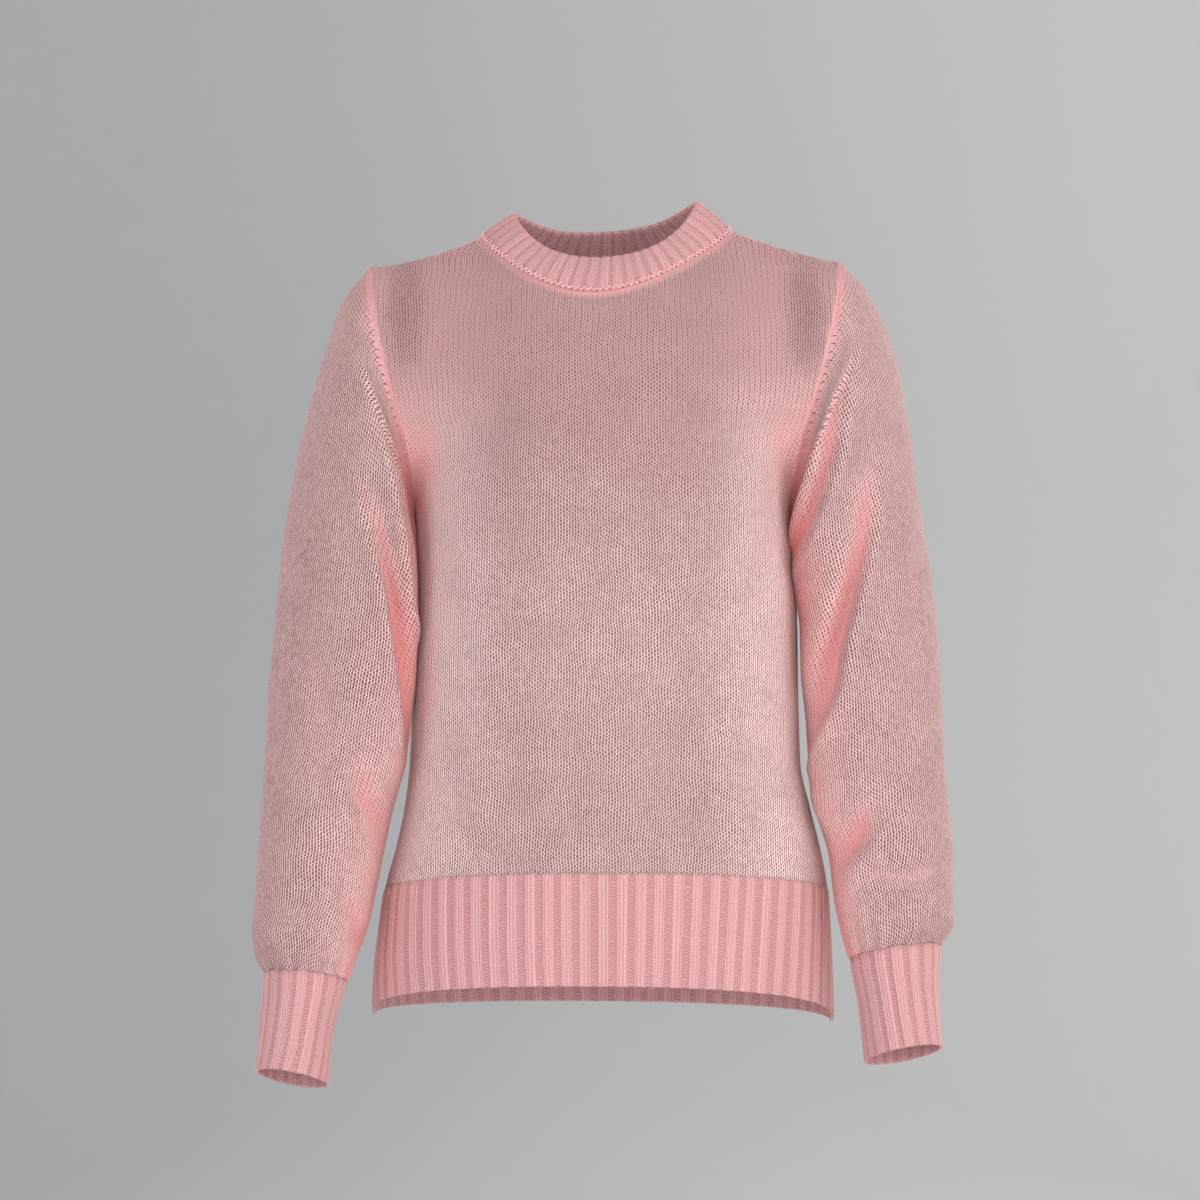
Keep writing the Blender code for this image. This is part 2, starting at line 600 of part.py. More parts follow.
def wall_mesh(item):
    """Closed mesh of a wall: two sheets, and strips along its edges."""
    rows, columns = item["grid"].shape[:2]
    closed = item["closed"]
    middle = item["grid"] + SHIFTS[item["kind"]](item)
    offset = item["normals"] * item["half_walls"].reshape(-1, 1, 1)
    sheets = (middle + offset, middle - offset)
    verts = np.concatenate([sheet.reshape(-1, 3) for sheet in sheets])
    count = rows * columns

    def at(sheet, r, c):
        return sheet * count + r * columns + c % columns

    faces = []
    spans = columns if closed else columns - 1
    for r in range(rows - 1):
        for c in range(spans):
            quad = (at(0, r, c), at(0, r, c + 1), at(0, r + 1, c + 1), at(0, r + 1, c))
            inner = (at(1, r, c), at(1, r + 1, c), at(1, r + 1, c + 1), at(1, r, c + 1))
            faces += [quad, inner]
    for c in range(spans):
        faces.append((at(1, 0, c), at(1, 0, c + 1), at(0, 0, c + 1), at(0, 0, c)))
        last = rows - 1
        faces.append((at(0, last, c), at(0, last, c + 1), at(1, last, c + 1), at(1, last, c)))
    if not closed:
        for r in range(rows - 1):
            last = columns - 1
            faces.append((at(0, r, 0), at(0, r + 1, 0), at(1, r + 1, 0), at(1, r, 0)))
            faces.append((at(1, r, last), at(1, r + 1, last), at(0, r + 1, last), at(0, r, last)))
    if item["flip"]:
        faces = [face[::-1] for face in faces]
    mesh = bpy.data.meshes.new(item["name"])
    mesh.from_pydata(verts.tolist(), [], faces)
    mesh.update()
    mesh.shade_smooth()
    mesh.set_sharp_from_angle(angle=SHARP_EDGE)
    return mesh


def knit_material(name, colour):
    material = bpy.data.materials.new(name)
    material.use_nodes = True
    shader = material.node_tree.nodes["Principled BSDF"]
    shader.inputs["Base Color"].default_value = (*colour, 1.0)
    shader.inputs["Roughness"].default_value = KNIT_ROUGHNESS
    shader.inputs["Metallic"].default_value = 0.0
    return material


# ---------------------------------------------------------------- the pieces
def piece(name, kind, grid, wall, colour, closed=False, flip=False, **place):
    return {"name": name, "kind": kind, "grid": grid, "colour": colour, "closed": closed,
            "flip": flip, "half_walls": np.full(grid.shape[0], wall / 2),
            "normals": grid_normals(grid, closed, flip), **place}


def torso_pieces():
    pieces = []
    for face in FACES:
        flip = face == "back"
        pieces.append(piece(f"{face}_panel", "panel", panel_grid(face), BODY_WALL, PINK_BODY,
                            flip=flip, face=face))
        pieces.append(piece(f"{face}_hem_rib", "hem", hem_grid(face), RIB_WALL, PINK_RIB,
                            flip=flip, face=face))
    return pieces


def sleeve_pieces():
    pieces = []
    for name, side in (("right", -1.0), ("left", 1.0)):
        flip = name == "left"
        pieces.append(piece(f"sleeve_{name}", "sleeve", sleeve_grid(name), BODY_WALL, PINK_BODY,
                            closed=True, flip=flip, side=side))
        pieces.append(piece(f"cuff_{name}", "cuff", cuff_grid(name), RIB_WALL, PINK_RIB,
                            closed=True, flip=flip, side=side))
    return pieces


def collar_piece():
    collar = piece("neck_rib", "collar", collar_grid(), COLLAR_WALL, PINK_RIB, closed=True)
    collar["half_walls"] = collar_half_walls()
    return collar


def orient_armholes(pieces):
    """The panels' armhole edges and the sleeves' first rings share one direction."""
    for item in pieces:
        if item["kind"] == "panel":
            rows = range(LOWER_ROWS, item["grid"].shape[0])
            set_armhole_directions(item, [(r, 0) for r in rows], "right")
            set_armhole_directions(item, [(r, COLUMNS) for r in rows], "left")
        elif item["kind"] == "sleeve":
            side_name = item["name"].removeprefix("sleeve_")
            ring = [(0, c) for c in range(item["grid"].shape[1])]
            set_armhole_directions(item, ring, side_name)


def build():
    for old in list(bpy.data.objects):
        bpy.data.objects.remove(old, do_unlink=True)
    pieces = torso_pieces() + sleeve_pieces() + [collar_piece()]
    share_directions(pieces)
    orient_armholes(pieces)
    for item in pieces:
        mesh = wall_mesh(item)
        mesh.materials.append(knit_material(item["name"], item["colour"]))
        bpy.context.scene.collection.objects.link(bpy.data.objects.new(item["name"], mesh))


build()
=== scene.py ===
"""Looks of the mohair sweater: knit, ribs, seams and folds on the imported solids' forms.

Every piece is a thin closed shell on the form of the solid it replaces, drawn from the
same sizes, but the sleeves lean a little further towards the body than their solids do.
The body and the sleeves are a loose plain knit: the yarn is a net with open eyelets
between its strands.  Collar, cuffs and hem are a dense rib with real relief.  Rows of
loops link the pieces at the seams.
"""

import math

import bpy
import numpy as np
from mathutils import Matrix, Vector


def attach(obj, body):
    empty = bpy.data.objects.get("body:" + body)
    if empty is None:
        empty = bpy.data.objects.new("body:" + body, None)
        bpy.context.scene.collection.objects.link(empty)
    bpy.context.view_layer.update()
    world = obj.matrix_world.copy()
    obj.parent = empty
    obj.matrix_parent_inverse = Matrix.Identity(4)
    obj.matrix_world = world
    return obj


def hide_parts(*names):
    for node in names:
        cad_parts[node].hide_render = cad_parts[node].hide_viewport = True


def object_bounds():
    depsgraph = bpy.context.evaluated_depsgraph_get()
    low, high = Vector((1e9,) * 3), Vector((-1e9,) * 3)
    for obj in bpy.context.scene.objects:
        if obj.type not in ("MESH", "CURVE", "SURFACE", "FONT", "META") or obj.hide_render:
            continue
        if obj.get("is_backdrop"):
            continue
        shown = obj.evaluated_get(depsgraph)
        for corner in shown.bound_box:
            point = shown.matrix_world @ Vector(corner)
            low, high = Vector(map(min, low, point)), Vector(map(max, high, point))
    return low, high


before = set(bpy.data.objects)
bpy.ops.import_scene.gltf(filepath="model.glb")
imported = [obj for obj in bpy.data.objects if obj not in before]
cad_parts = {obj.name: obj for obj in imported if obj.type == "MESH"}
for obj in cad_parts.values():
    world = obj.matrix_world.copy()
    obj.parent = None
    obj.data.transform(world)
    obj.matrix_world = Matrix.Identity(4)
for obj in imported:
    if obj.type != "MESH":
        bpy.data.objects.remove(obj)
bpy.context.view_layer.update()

# ---- cloth
BODY_WALL = 0.0014
RIB_WALL = 0.0022
COLLAR_WALL = 0.0046

WALE = 0.00415                  # one column of stitches of the plain knit
COURSE = 0.0029                 # one row of stitches
RIB_COURSE = 0.0024
HEM_REPEATS = 33                # rib repeats across one panel
CUFF_REPEATS = 17
COLLAR_REPEATS = 50

# ---- driving heights
UNDERARM_Z = -0.200
RIB_TOP_SIDE_Z = -0.485
HEM_SIDE_Z = {"right": -0.580, "left": -0.586}

# How far the rib's top and the hem rise at the middle of a panel, above the side seams.
RIB_TOP_RISE = {"front": 0.019, "back": 0.000}
HEM_RISE = {"front": 0.0345, "back": 0.000}
HEM_RISE_POWER = 0.75

# ---- torso
FACES = ("front", "back")
SIDES = {"right": -1.0, "left": 1.0}      # and the sign of x there

TORSO_COLUMNS = ("z", "right", "left", "front", "back")
TORSO_LEVELS = (
    # height, half width right and left, depth front and back
    (-0.590, 0.1740, 0.1740, 0.1100, 0.1110),
    (-0.555, 0.1730, 0.1730, 0.1095, 0.1090),
    (-0.520, 0.1695, 0.1715, 0.1085, 0.1060),
    (-0.485, 0.1645, 0.1695, 0.1065, 0.1020),
    (-0.455, 0.1565, 0.1640, 0.1055, 0.0980),
    (-0.425, 0.1500, 0.1565, 0.1045, 0.0940),
    (-0.390, 0.1460, 0.1490, 0.1040, 0.0910),
    (-0.340, 0.1440, 0.1475, 0.1060, 0.0900),
    (-0.280, 0.1420, 0.1465, 0.1130, 0.0920),
    (-0.235, 0.1410, 0.1440, 0.1195, 0.0975),
    (-0.200, 0.1415, 0.1415, 0.1220, 0.1000),
    (-0.165, 0.1415, 0.1415, 0.1220, 0.1000),
)
SECTION_POWER = 2.4
UNDERARM_HALF_WIDTH = 0.1415
UNDERARM_DEPTH = {"front": 0.1220, "back": 0.1000}

# The shoulder slope falls from the neck point to the tip of the shoulder.
SHOULDER_TIP_X = {"right": 0.1775, "left": 0.1800}
SHOULDER_TIP_Z = {"right": -0.0144, "left": -0.0105}
NECK_POINT_X = {"right": 0.0905, "left": 0.0950}
NECK_POINT_Z = {"right": 0.0100, "left": 0.0145}
SHOULDER_SLOPE_POWER = {"right": 1.60, "left": 1.25}
NECK_RIDGE_RISE = 0.019

# Roundness of the panels above the underarm, as seen from the side: depth follows
# (1 - height**rise) ** fall from the underarm to the shoulder line.
YOKE_RISE_POWER = {"front": 2.0, "back": 3.0}
YOKE_FALL_POWER = {"front": 0.90, "back": 0.46}
YOKE_EDGE_SHARE = 0.40
YOKE_JOIN_POWER = 4.0           # how locally the armhole's bulge joins the body low down

ARMHOLE_DEPTH = {"front": 0.057, "back": 0.058}
ARMHOLE_STRAIGHT_SHARE = 0.3
ARMHOLE_BOW_REACH = 0.19        # share of the sleeve over which the armhole's bow dies out

# ---- collar
# Reach of the neck seam from the shoulder line, as a share of the panel's depth, and how
# much less it reaches on the left than on the right.
NECK_REACH = {"front": 0.54, "back": 0.66}
NECK_REACH_POWER = {"front": 1.4, "back": 1.0}
NECK_TWIST = 0.08

# Heights round the collar's top: mean, front to back, sides to middle, quarters, side to side.
COLLAR_TOP_WAVES = (0.0162, -0.0145, -0.0135, 0.0018, 0.0045)
COLLAR_TOP_CENTRE = (0.0020, 0.0010)
COLLAR_TOP_RADII = (0.0680, 0.0500)
COLLAR_BULGE = 0.0015

# ---- sleeves and cuffs
# Tilt lifts the front of a section, and lean carries its front towards the body.
SLEEVE_COLUMNS = ("along", "out_x", "out_z", "in_x", "in_z", "mid_y", "front", "back",
                  "tilt", "lean")
SLEEVE_SECTIONS = {
    "right": (
        # along, outer point x z, inner point x z, middle y, half depths, tilt, lean
        (0.00, 0.1775, -0.0144, 0.1415, -0.200, 0.000, 0.0570, 0.0580, 0.00, 0.00),
        (0.08, 0.1980, -0.0420, 0.1436, -0.213, -0.004, 0.0600, 0.0610, 0.00, 0.12),
        (0.19, 0.2135, -0.0980, 0.1440, -0.236, -0.012, 0.0610, 0.0610, 0.02, 0.34),
        (0.30, 0.2255, -0.1550, 0.1440, -0.262, -0.018, 0.0590, 0.0600, 0.03, 0.46),
        (0.41, 0.2350, -0.2150, 0.1446, -0.295, -0.022, 0.0570, 0.0580, 0.04, 0.48),
        (0.52, 0.2425, -0.2770, 0.1460, -0.330, -0.025, 0.0550, 0.0560, 0.06, 0.44),
        (0.64, 0.2510, -0.3480, 0.1480, -0.378, -0.028, 0.0540, 0.0540, 0.10, 0.32),
        (0.76, 0.2560, -0.4180, 0.1600, -0.430, -0.030, 0.0520, 0.0520, 0.14, 0.05),
        (0.87, 0.2595, -0.4800, 0.1705, -0.483, -0.041, 0.0480, 0.0490, 0.18, 0.00),
        (0.94, 0.2615, -0.5140, 0.1780, -0.517, -0.049, 0.0460, 0.0460, 0.20, 0.00),
        (0.98, 0.2580, -0.5330, 0.1865, -0.537, -0.053, 0.0400, 0.0400, 0.22, 0.00),
        (1.00, 0.2515, -0.5430, 0.1915, -0.549, -0.055, 0.0340, 0.0340, 0.22, 0.00),
        (1.50, 0.2535, -0.5790, 0.2020, -0.588, -0.064, 0.0315, 0.0315, 0.26, 0.00),
        (2.00, 0.2555, -0.6160, 0.2045, -0.625, -0.072, 0.0310, 0.0310, 0.30, 0.00),
    ),
    "left": (
        (0.00, 0.1800, -0.0105, 0.1415, -0.200, 0.000, 0.0570, 0.0580, 0.00, 0.00),
        (0.08, 0.2025, -0.0360, 0.1438, -0.213, -0.004, 0.0600, 0.0610, 0.00, 0.12),
        (0.19, 0.2190, -0.0840, 0.1448, -0.236, -0.012, 0.0610, 0.0610, 0.02, 0.36),
        (0.30, 0.2290, -0.1380, 0.1480, -0.262, -0.014, 0.0590, 0.0600, 0.03, 0.34),
        (0.41, 0.2380, -0.1950, 0.1505, -0.290, -0.017, 0.0570, 0.0580, 0.04, 0.24),
        (0.52, 0.2470, -0.2560, 0.1510, -0.322, -0.022, 0.0550, 0.0560, 0.06, 0.26),
        (0.64, 0.2540, -0.3220, 0.1540, -0.362, -0.019, 0.0540, 0.0540, 0.10, 0.10),
        (0.76, 0.2565, -0.3900, 0.1570, -0.410, -0.027, 0.0520, 0.0520, 0.14, 0.05),
        (0.87, 0.2615, -0.4560, 0.1700, -0.458, -0.038, 0.0490, 0.0490, 0.18, 0.00),
        (0.94, 0.2600, -0.4880, 0.1735, -0.490, -0.045, 0.0470, 0.0470, 0.20, 0.00),
        (0.98, 0.2605, -0.5080, 0.1785, -0.512, -0.050, 0.0430, 0.0430, 0.22, 0.00),
        (1.00, 0.2510, -0.5230, 0.1850, -0.533, -0.053, 0.0350, 0.0350, 0.22, 0.00),
        (1.50, 0.2480, -0.5600, 0.1915, -0.571, -0.063, 0.0315, 0.0315, 0.26, 0.00),
        (2.00, 0.2500, -0.5980, 0.1950, -0.608, -0.071, 0.0310, 0.0310, 0.30, 0.00),
    ),
}
SLEEVE_LENGTH = 0.52
SLEEVE_RADIUS = 0.050

# Creases are lower at their ends, and die out near the seams, over these shares.
CREASE_END_SHARE = 0.35
SLEEVE_FADE = {"armhole": 0.08, "cuff": 0.03}
TORSO_FADE = {"side": 0.12, "shoulder": 0.25, "rib": 0.15}

# Creases of the sleeves: width, height (positive for a ridge, negative for a hollow), then
# the points of the line it follows, each a share of the sleeve and an angle round it:
# 0 outside, 90 front, 180 towards the body, 270 back.
SLEEVE_CREASES = {
    "right": (
        (0.008, 0.0062, (0.3, 58), (0.42, 88), (0.55, 114), (0.64, 136)),
        (0.013, -0.0105, (0.3, 74), (0.42, 105), (0.53, 127), (0.64, 156)),
        (0.008, 0.0055, (0.17, 84), (0.31, 103), (0.4, 121), (0.43, 146)),
        (0.016, -0.0115, (0.07, 132), (0.2, 138), (0.28, 154), (0.46, 172)),
        (0.011, -0.0042, (0.67, 97), (0.74, 122), (0.78, 150)),
        (0.009, 0.0032, (0.72, 92), (0.79, 118), (0.83, 150)),
        (0.006, 0.0014, (0.28, 22), (0.4, 45), (0.52, 70)),
        (0.01, 0.0026, (0.08, 66), (0.22, 62), (0.34, 48)),
        (0.009, -0.0022, (0.52, 40), (0.66, 66), (0.74, 84)),
        (0.008, 0.003, (0.85, 88), (0.92, 128), (0.94, 160)),
        (0.009, -0.004, (0.88, 112), (0.94, 150), (0.95, 186)),
        (0.007, 0.0022, (0.93, 20), (0.955, 62), (0.95, 92)),
        (0.012, -0.006, (0.34, 262), (0.48, 236), (0.6, 205)),
        (0.008, 0.004, (0.28, 248), (0.42, 222), (0.55, 196)),
        (0.012, -0.0045, (0.12, 226), (0.24, 214), (0.4, 196)),
        (0.01, 0.0028, (0.14, 292), (0.3, 282), (0.46, 262)),
        (0.011, -0.004, (0.7, 262), (0.77, 232), (0.82, 206)),
        (0.009, 0.0028, (0.62, 288), (0.71, 262), (0.78, 226)),
        (0.008, -0.003, (0.89, 300), (0.93, 262), (0.93, 226)),
    ),
    "left": (
        (0.0085, 0.008, (0.33, 42), (0.46, 75), (0.6, 104), (0.68, 136), (0.72, 166)),
        (0.0135, -0.0125, (0.33, 56), (0.44, 85), (0.55, 114), (0.63, 136)),
        (0.009, 0.0056, (0.15, 44), (0.27, 72), (0.31, 105), (0.29, 142)),
        (0.012, -0.008, (0.11, 68), (0.21, 84), (0.25, 112), (0.22, 154)),
        (0.015, -0.0085, (0.04, 184), (0.15, 172), (0.3, 178)),
        (0.008, 0.0028, (0.06, 104), (0.05, 154)),
        (0.01, -0.0056, (0.8, 98), (0.85, 126), (0.89, 154)),
        (0.0075, 0.0034, (0.85, 96), (0.89, 122), (0.93, 146)),
        (0.011, 0.004, (0.84, 156), (0.75, 162)),
        (0.006, 0.0014, (0.78, 28), (0.66, 58), (0.58, 72)),
        (0.009, -0.0024, (0.44, 20), (0.58, 46), (0.7, 62)),
        (0.008, -0.0036, (0.9, 30), (0.92, 80), (0.91, 130)),
        (0.007, 0.0022, (0.94, 10), (0.96, 60), (0.955, 104)),
        (0.012, -0.0064, (0.32, 254), (0.45, 228), (0.58, 200)),
        (0.008, 0.0042, (0.26, 240), (0.39, 214), (0.52, 190)),
        (0.012, -0.0045, (0.12, 232), (0.26, 210), (0.38, 192)),
        (0.01, 0.0028, (0.18, 298), (0.32, 276), (0.48, 258)),
        (0.011, -0.0042, (0.68, 270), (0.76, 240), (0.8, 208)),
        (0.009, 0.003, (0.62, 300), (0.7, 270), (0.76, 236)),
        (0.008, -0.003, (0.88, 310), (0.92, 270), (0.93, 232)),
    ),
}

# Creases of the torso: width, height, then points as a distance from the middle towards
# the wearer's left, and a height.
TORSO_CREASES = {
    "front": (
        (0.012, -0.003, (-0.136, -0.12), (-0.128, -0.19), (-0.116, -0.28)),
        (0.012, -0.003, (0.136, -0.11), (0.128, -0.185), (0.116, -0.27)),
        (0.009, 0.0016, (-0.118, -0.15), (-0.108, -0.225), (-0.09, -0.3)),
        (0.009, 0.0016, (0.12, -0.14), (0.108, -0.215), (0.092, -0.29)),
        (0.015, 0.0025, (-0.098, -0.33), (-0.092, -0.4), (-0.088, -0.455)),
        (0.015, 0.0025, (0.092, -0.3), (0.098, -0.38), (0.096, -0.455)),
        (0.014, -0.0018, (-0.062, -0.35), (-0.066, -0.42), (-0.06, -0.465)),
        (0.014, -0.0016, (0.058, -0.34), (0.066, -0.41), (0.068, -0.46)),
        (0.018, 0.0016, (-0.012, -0.3), (-0.004, -0.38), (-0.01, -0.45)),
    ),
    "back": (
        (0.013, -0.003, (-0.128, -0.115), (-0.112, -0.19), (-0.088, -0.275)),
        (0.013, -0.003, (0.128, -0.125), (0.114, -0.2), (0.092, -0.285)),
        (0.01, 0.002, (-0.112, -0.135), (-0.094, -0.215), (-0.068, -0.3)),
        (0.01, 0.002, (0.112, -0.145), (0.096, -0.225), (0.07, -0.305)),
        (0.016, 0.003, (-0.056, -0.3), (-0.052, -0.38), (-0.048, -0.455)),
        (0.016, 0.003, (0.05, -0.29), (0.056, -0.37), (0.06, -0.455)),
        (0.015, -0.0024, (-0.024, -0.33), (-0.018, -0.4), (-0.022, -0.46)),
        (0.015, -0.0022, (0.086, -0.34), (0.092, -0.41), (0.09, -0.465)),
    ),
}

NECK_SHARE = 7 / 12             # share of the panel's half width that the neck takes

# The row of each piece along which its columns are spread evenly, and the points of a line
# that is cut into equal lengths.
EVEN_AT = {"panel": -0.4, "hem": -1.5, "sleeve": 0.5, "cuff": 1.5}
FINE, FINER = 2001, 4001
POINTS_AT_ONCE = 40             # seam points that are compared with a grid in one go


# ---- reading the tables
def even_slopes(keys, values):
    """Slopes that keep a curve between the values it passes through."""
    rise = np.diff(values) / np.diff(keys)
    before, after = rise[:-1], rise[1:]
    same_way = before * after > 0
    total = np.where(same_way, before + after, 1.0)
    inside = np.where(same_way, 2 * before * after / total, 0.0)
    return np.concatenate([rise[:1], inside, rise[-1:]])


def read(table, columns, name, at):
    """A smooth curve through one named column of a table, read at the given keys."""
    keys = np.array([row[0] for row in table])
    values = np.array([row[columns.index(name)] for row in table])
    slopes = even_slopes(keys, values)
    at = np.clip(at, keys[0], keys[-1])
    low = np.clip(np.searchsorted(keys, at, side="right") - 1, 0, len(keys) - 2)
    span = keys[low + 1] - keys[low]
    f = (at - keys[low]) / span
    return (values[low] * (2 * f**3 - 3 * f**2 + 1)
            + slopes[low] * span * (f**3 - 2 * f**2 + f)
            + values[low + 1] * (3 * f**2 - 2 * f**3)
            + slopes[low + 1] * span * (f**3 - f**2))


def by_side(side, pair):
    """The value of the side that each point lies on; side is -1 right, +1 left."""
    return np.where(side < 0, pair["right"], pair["left"])


def smoothstep(f):
    f = np.clip(f, 0.0, 1.0)
    return f * f * (3 - 2 * f)


def blend(a, b, share):
    return a + (b - a) * share


def ramp(value, start, reach, low=0.0, high=1.0):
    """Low up to the start, high once the value is past it by the reach."""
    return blend(low, high, smoothstep((value - start) / reach))


def unit(a):
    return a / np.maximum(np.linalg.norm(a, axis=-1, keepdims=True), 1e-12)


def around(count):
    """Angles of a whole turn in equal steps, without its end."""
    return np.linspace(0, 2 * math.pi, count + 1)[:-1]


def arc(points):
    """Length of a line of points, up to each of them."""
    return np.concatenate([[0], np.cumsum(np.linalg.norm(np.diff(points, axis=0), axis=1))])


def evenly(points, keys, count):
    """Keys that cut a line of points into a count of equal lengths."""
    run = arc(points)
    return np.interp(np.linspace(0, run[-1], count + 1), run, keys)


def crease_height(creases, across, along):
    """Sum of the creases' heights at points given as distances across and along a piece."""
    total = np.zeros(np.broadcast(across, along).shape)
    for width, height, *points in creases:
        points = np.array(points)
        legs = np.diff(points, axis=0)
        lengths = np.linalg.norm(legs, axis=1)
        done = np.concatenate([[0], np.cumsum(lengths)])
        nearest, place = np.full(total.shape, np.inf), np.zeros(total.shape)
        for start, leg, length, before in zip(points, legs, lengths, done):
            share = ((across - start[0]) * leg[0] + (along - start[1]) * leg[1]) / length**2
            share = np.clip(share, 0.0, 1.0)
            gap = ((across - start[0] - share * leg[0])**2
                   + (along - start[1] - share * leg[1])**2)
            place = np.where(gap < nearest, (before + share * length) / done[-1], place)
            nearest = np.minimum(gap, nearest)
        taper = blend(CREASE_END_SHARE, 1.0, np.sin(math.pi * place))
        total = total + height * taper * np.exp(-nearest / width**2)
    return total


# ---- the torso sheet
def ridge_z(side, x):
    """Height of the shoulder line at the distance x from the middle, and across the neck."""
    tip_x, tip_z = by_side(side, SHOULDER_TIP_X), by_side(side, SHOULDER_TIP_Z)
    neck_x, neck_z = by_side(side, NECK_POINT_X), by_side(side, NECK_POINT_Z)
    share = np.clip((tip_x - x) / (tip_x - neck_x), 0.0, 1.0)
    slope = tip_z + (neck_z - tip_z) * share**by_side(side, SHOULDER_SLOPE_POWER)
    middle_z = (NECK_POINT_Z["right"] + NECK_POINT_Z["left"]) / 2
    inward = np.clip(x / neck_x, 0.0, 1.0)
    across = blend(middle_z, neck_z, inward) + NECK_RIDGE_RISE * (1 - inward**2)
    return np.where(x < neck_x, across, slope)


def neck_seam_rise(face, sine, cosine):
    """Share of the yoke's height at which the neck seam stands.

    The sine is towards the left side, the cosine towards the middle of the panel.
    """
    reach = NECK_REACH[face] * (1 - NECK_TWIST * sine) * cosine**NECK_REACH_POWER[face]
    return (1 - reach**(1 / YOKE_FALL_POWER[face]))**(1 / YOKE_RISE_POWER[face])


def armhole_x(side, t):
    """Distance of the armhole from the middle, at the share t of its height."""
    tip = by_side(side, SHOULDER_TIP_X)
    bow = ARMHOLE_STRAIGHT_SHARE * t + (1 - ARMHOLE_STRAIGHT_SHARE) * smoothstep(t)
    return blend(UNDERARM_HALF_WIDTH, tip, bow)


def torso_point(face, s, v):
    """Points of the torso sheet.

    s runs from -1 at the wearer's right edge to 1 at the left edge of the panel.
    v runs from -2 at the hem over -1 at the top of the rib and 0 at the underarm
    to 1 at the shoulder seam and the neck seam.
    """
    s, v = np.broadcast_arrays(np.asarray(s, float), np.asarray(v, float))
    forward = -1.0 if face == "front" else 1.0
    side = np.where(s < 0, -1.0, 1.0)
    t = np.clip(v, 0.0, 1.0)

    # Height of each row at its edge, and the half width there.
    below = blend(RIB_TOP_SIDE_Z, UNDERARM_Z, np.clip(v + 1, 0.0, 1.0))
    hem_z = blend(HEM_SIDE_Z["right"], HEM_SIDE_Z["left"], (s + 1) / 2)
    below = blend(below, hem_z, np.clip(-1 - v, 0.0, 1.0))
    half = np.where(side < 0, read(TORSO_LEVELS, TORSO_COLUMNS, "right", below),
                    read(TORSO_LEVELS, TORSO_COLUMNS, "left", below))
    half = np.where(v > 0, armhole_x(side, t), half)

    # Share of the half width: even round the body below, even along the seams above.
    turn = np.abs(s) * math.pi / 2
    round_share = np.sin(turn)**(2 / SECTION_POWER)
    neck_q = by_side(side, NECK_POINT_X) / by_side(side, SHOULDER_TIP_X)
    in_neck = np.abs(s) <= NECK_SHARE
    neck_turn = np.clip(np.abs(s) / NECK_SHARE, 0.0, 1.0) * math.pi / 2
    seam_share = neck_q + (1 - neck_q) * (np.abs(s) - NECK_SHARE) / (1 - NECK_SHARE)
    top_share = np.where(in_neck, neck_q * np.sin(neck_turn), seam_share)
    q = np.clip(blend(round_share, top_share, smoothstep(t)), 0.0, 1.0)
    x = half * q

    # Height: the rib's top and the hem rise towards the middle of the panel.
    middle = np.cos(turn)
    rib_rise = RIB_TOP_RISE[face] * middle * np.clip(-v, 0.0, 1.0)
    hem_rise = HEM_RISE[face] * middle**HEM_RISE_POWER
    rise = np.where(v < -1, blend(RIB_TOP_RISE[face] * middle, hem_rise, -1 - v), rib_rise)
    neck_cosine = np.maximum(np.cos(neck_turn), 0.0)
    rise_share = neck_seam_rise(face, side * np.sin(neck_turn), neck_cosine)
    ridge_top = ridge_z(side, by_side(side, SHOULDER_TIP_X) * top_share)
    top = UNDERARM_Z + rise_share * (ridge_top - UNDERARM_Z)
    z = np.where(v > 0, UNDERARM_Z + t * (top - UNDERARM_Z), below + rise)

    # Depth: a rounded section below, rounding over to the shoulder line above.
    depth = read(TORSO_LEVELS, TORSO_COLUMNS, face, z)
    lower_y = depth * (1 - q**SECTION_POWER)**(1 / SECTION_POWER)
    ty = np.clip((z - UNDERARM_Z) / (ridge_z(side, x) - UNDERARM_Z), 0.0, 1.0)
    middle_y = UNDERARM_DEPTH[face] * (1 - ty**YOKE_RISE_POWER[face])**YOKE_FALL_POWER[face]
    edge_y = ARMHOLE_DEPTH[face] * 2 * np.sqrt(ty * (1 - ty))
    open_out = smoothstep(ty / YOKE_EDGE_SHARE)
    middle_share = (1 - q**SECTION_POWER)**(1 / blend(SECTION_POWER, 1.0, open_out))
    join = blend(YOKE_JOIN_POWER, 1.0, open_out)
    upper_y = ((middle_y * middle_share)**join + (edge_y * q**SECTION_POWER)**join)**(1 / join)
    y = np.where(v > 0, upper_y, lower_y)

    # Creases lie square to the front and back, and fade at every seam.
    fade = smoothstep((1 - np.abs(s)) / TORSO_FADE["side"])
    fade = fade * smoothstep((1 - v) / TORSO_FADE["shoulder"])
    fade = fade * smoothstep((v + 1) / TORSO_FADE["rib"])
    y = y + fade * crease_height(TORSO_CREASES[face], side * x, z)
    return np.stack([side * x, forward * y, z], axis=-1)


# ---- the sleeve sheet
def sleeve_crease(name, w, angle):
    """Height of a sleeve's creases at a share of its length and an angle from -pi to pi."""
    creases = [(width, height, *((share * SLEEVE_LENGTH, math.radians(turn) * SLEEVE_RADIUS)
                                 for share, turn in points))
               for width, height, *points in SLEEVE_CREASES[name]]
    height = sum(crease_height(creases, w * SLEEVE_LENGTH, (angle + round_) * SLEEVE_RADIUS)
                 for round_ in (0.0, 2 * math.pi))
    height = height * smoothstep(w / SLEEVE_FADE["armhole"])
    return height * smoothstep((1 - w) / SLEEVE_FADE["cuff"])


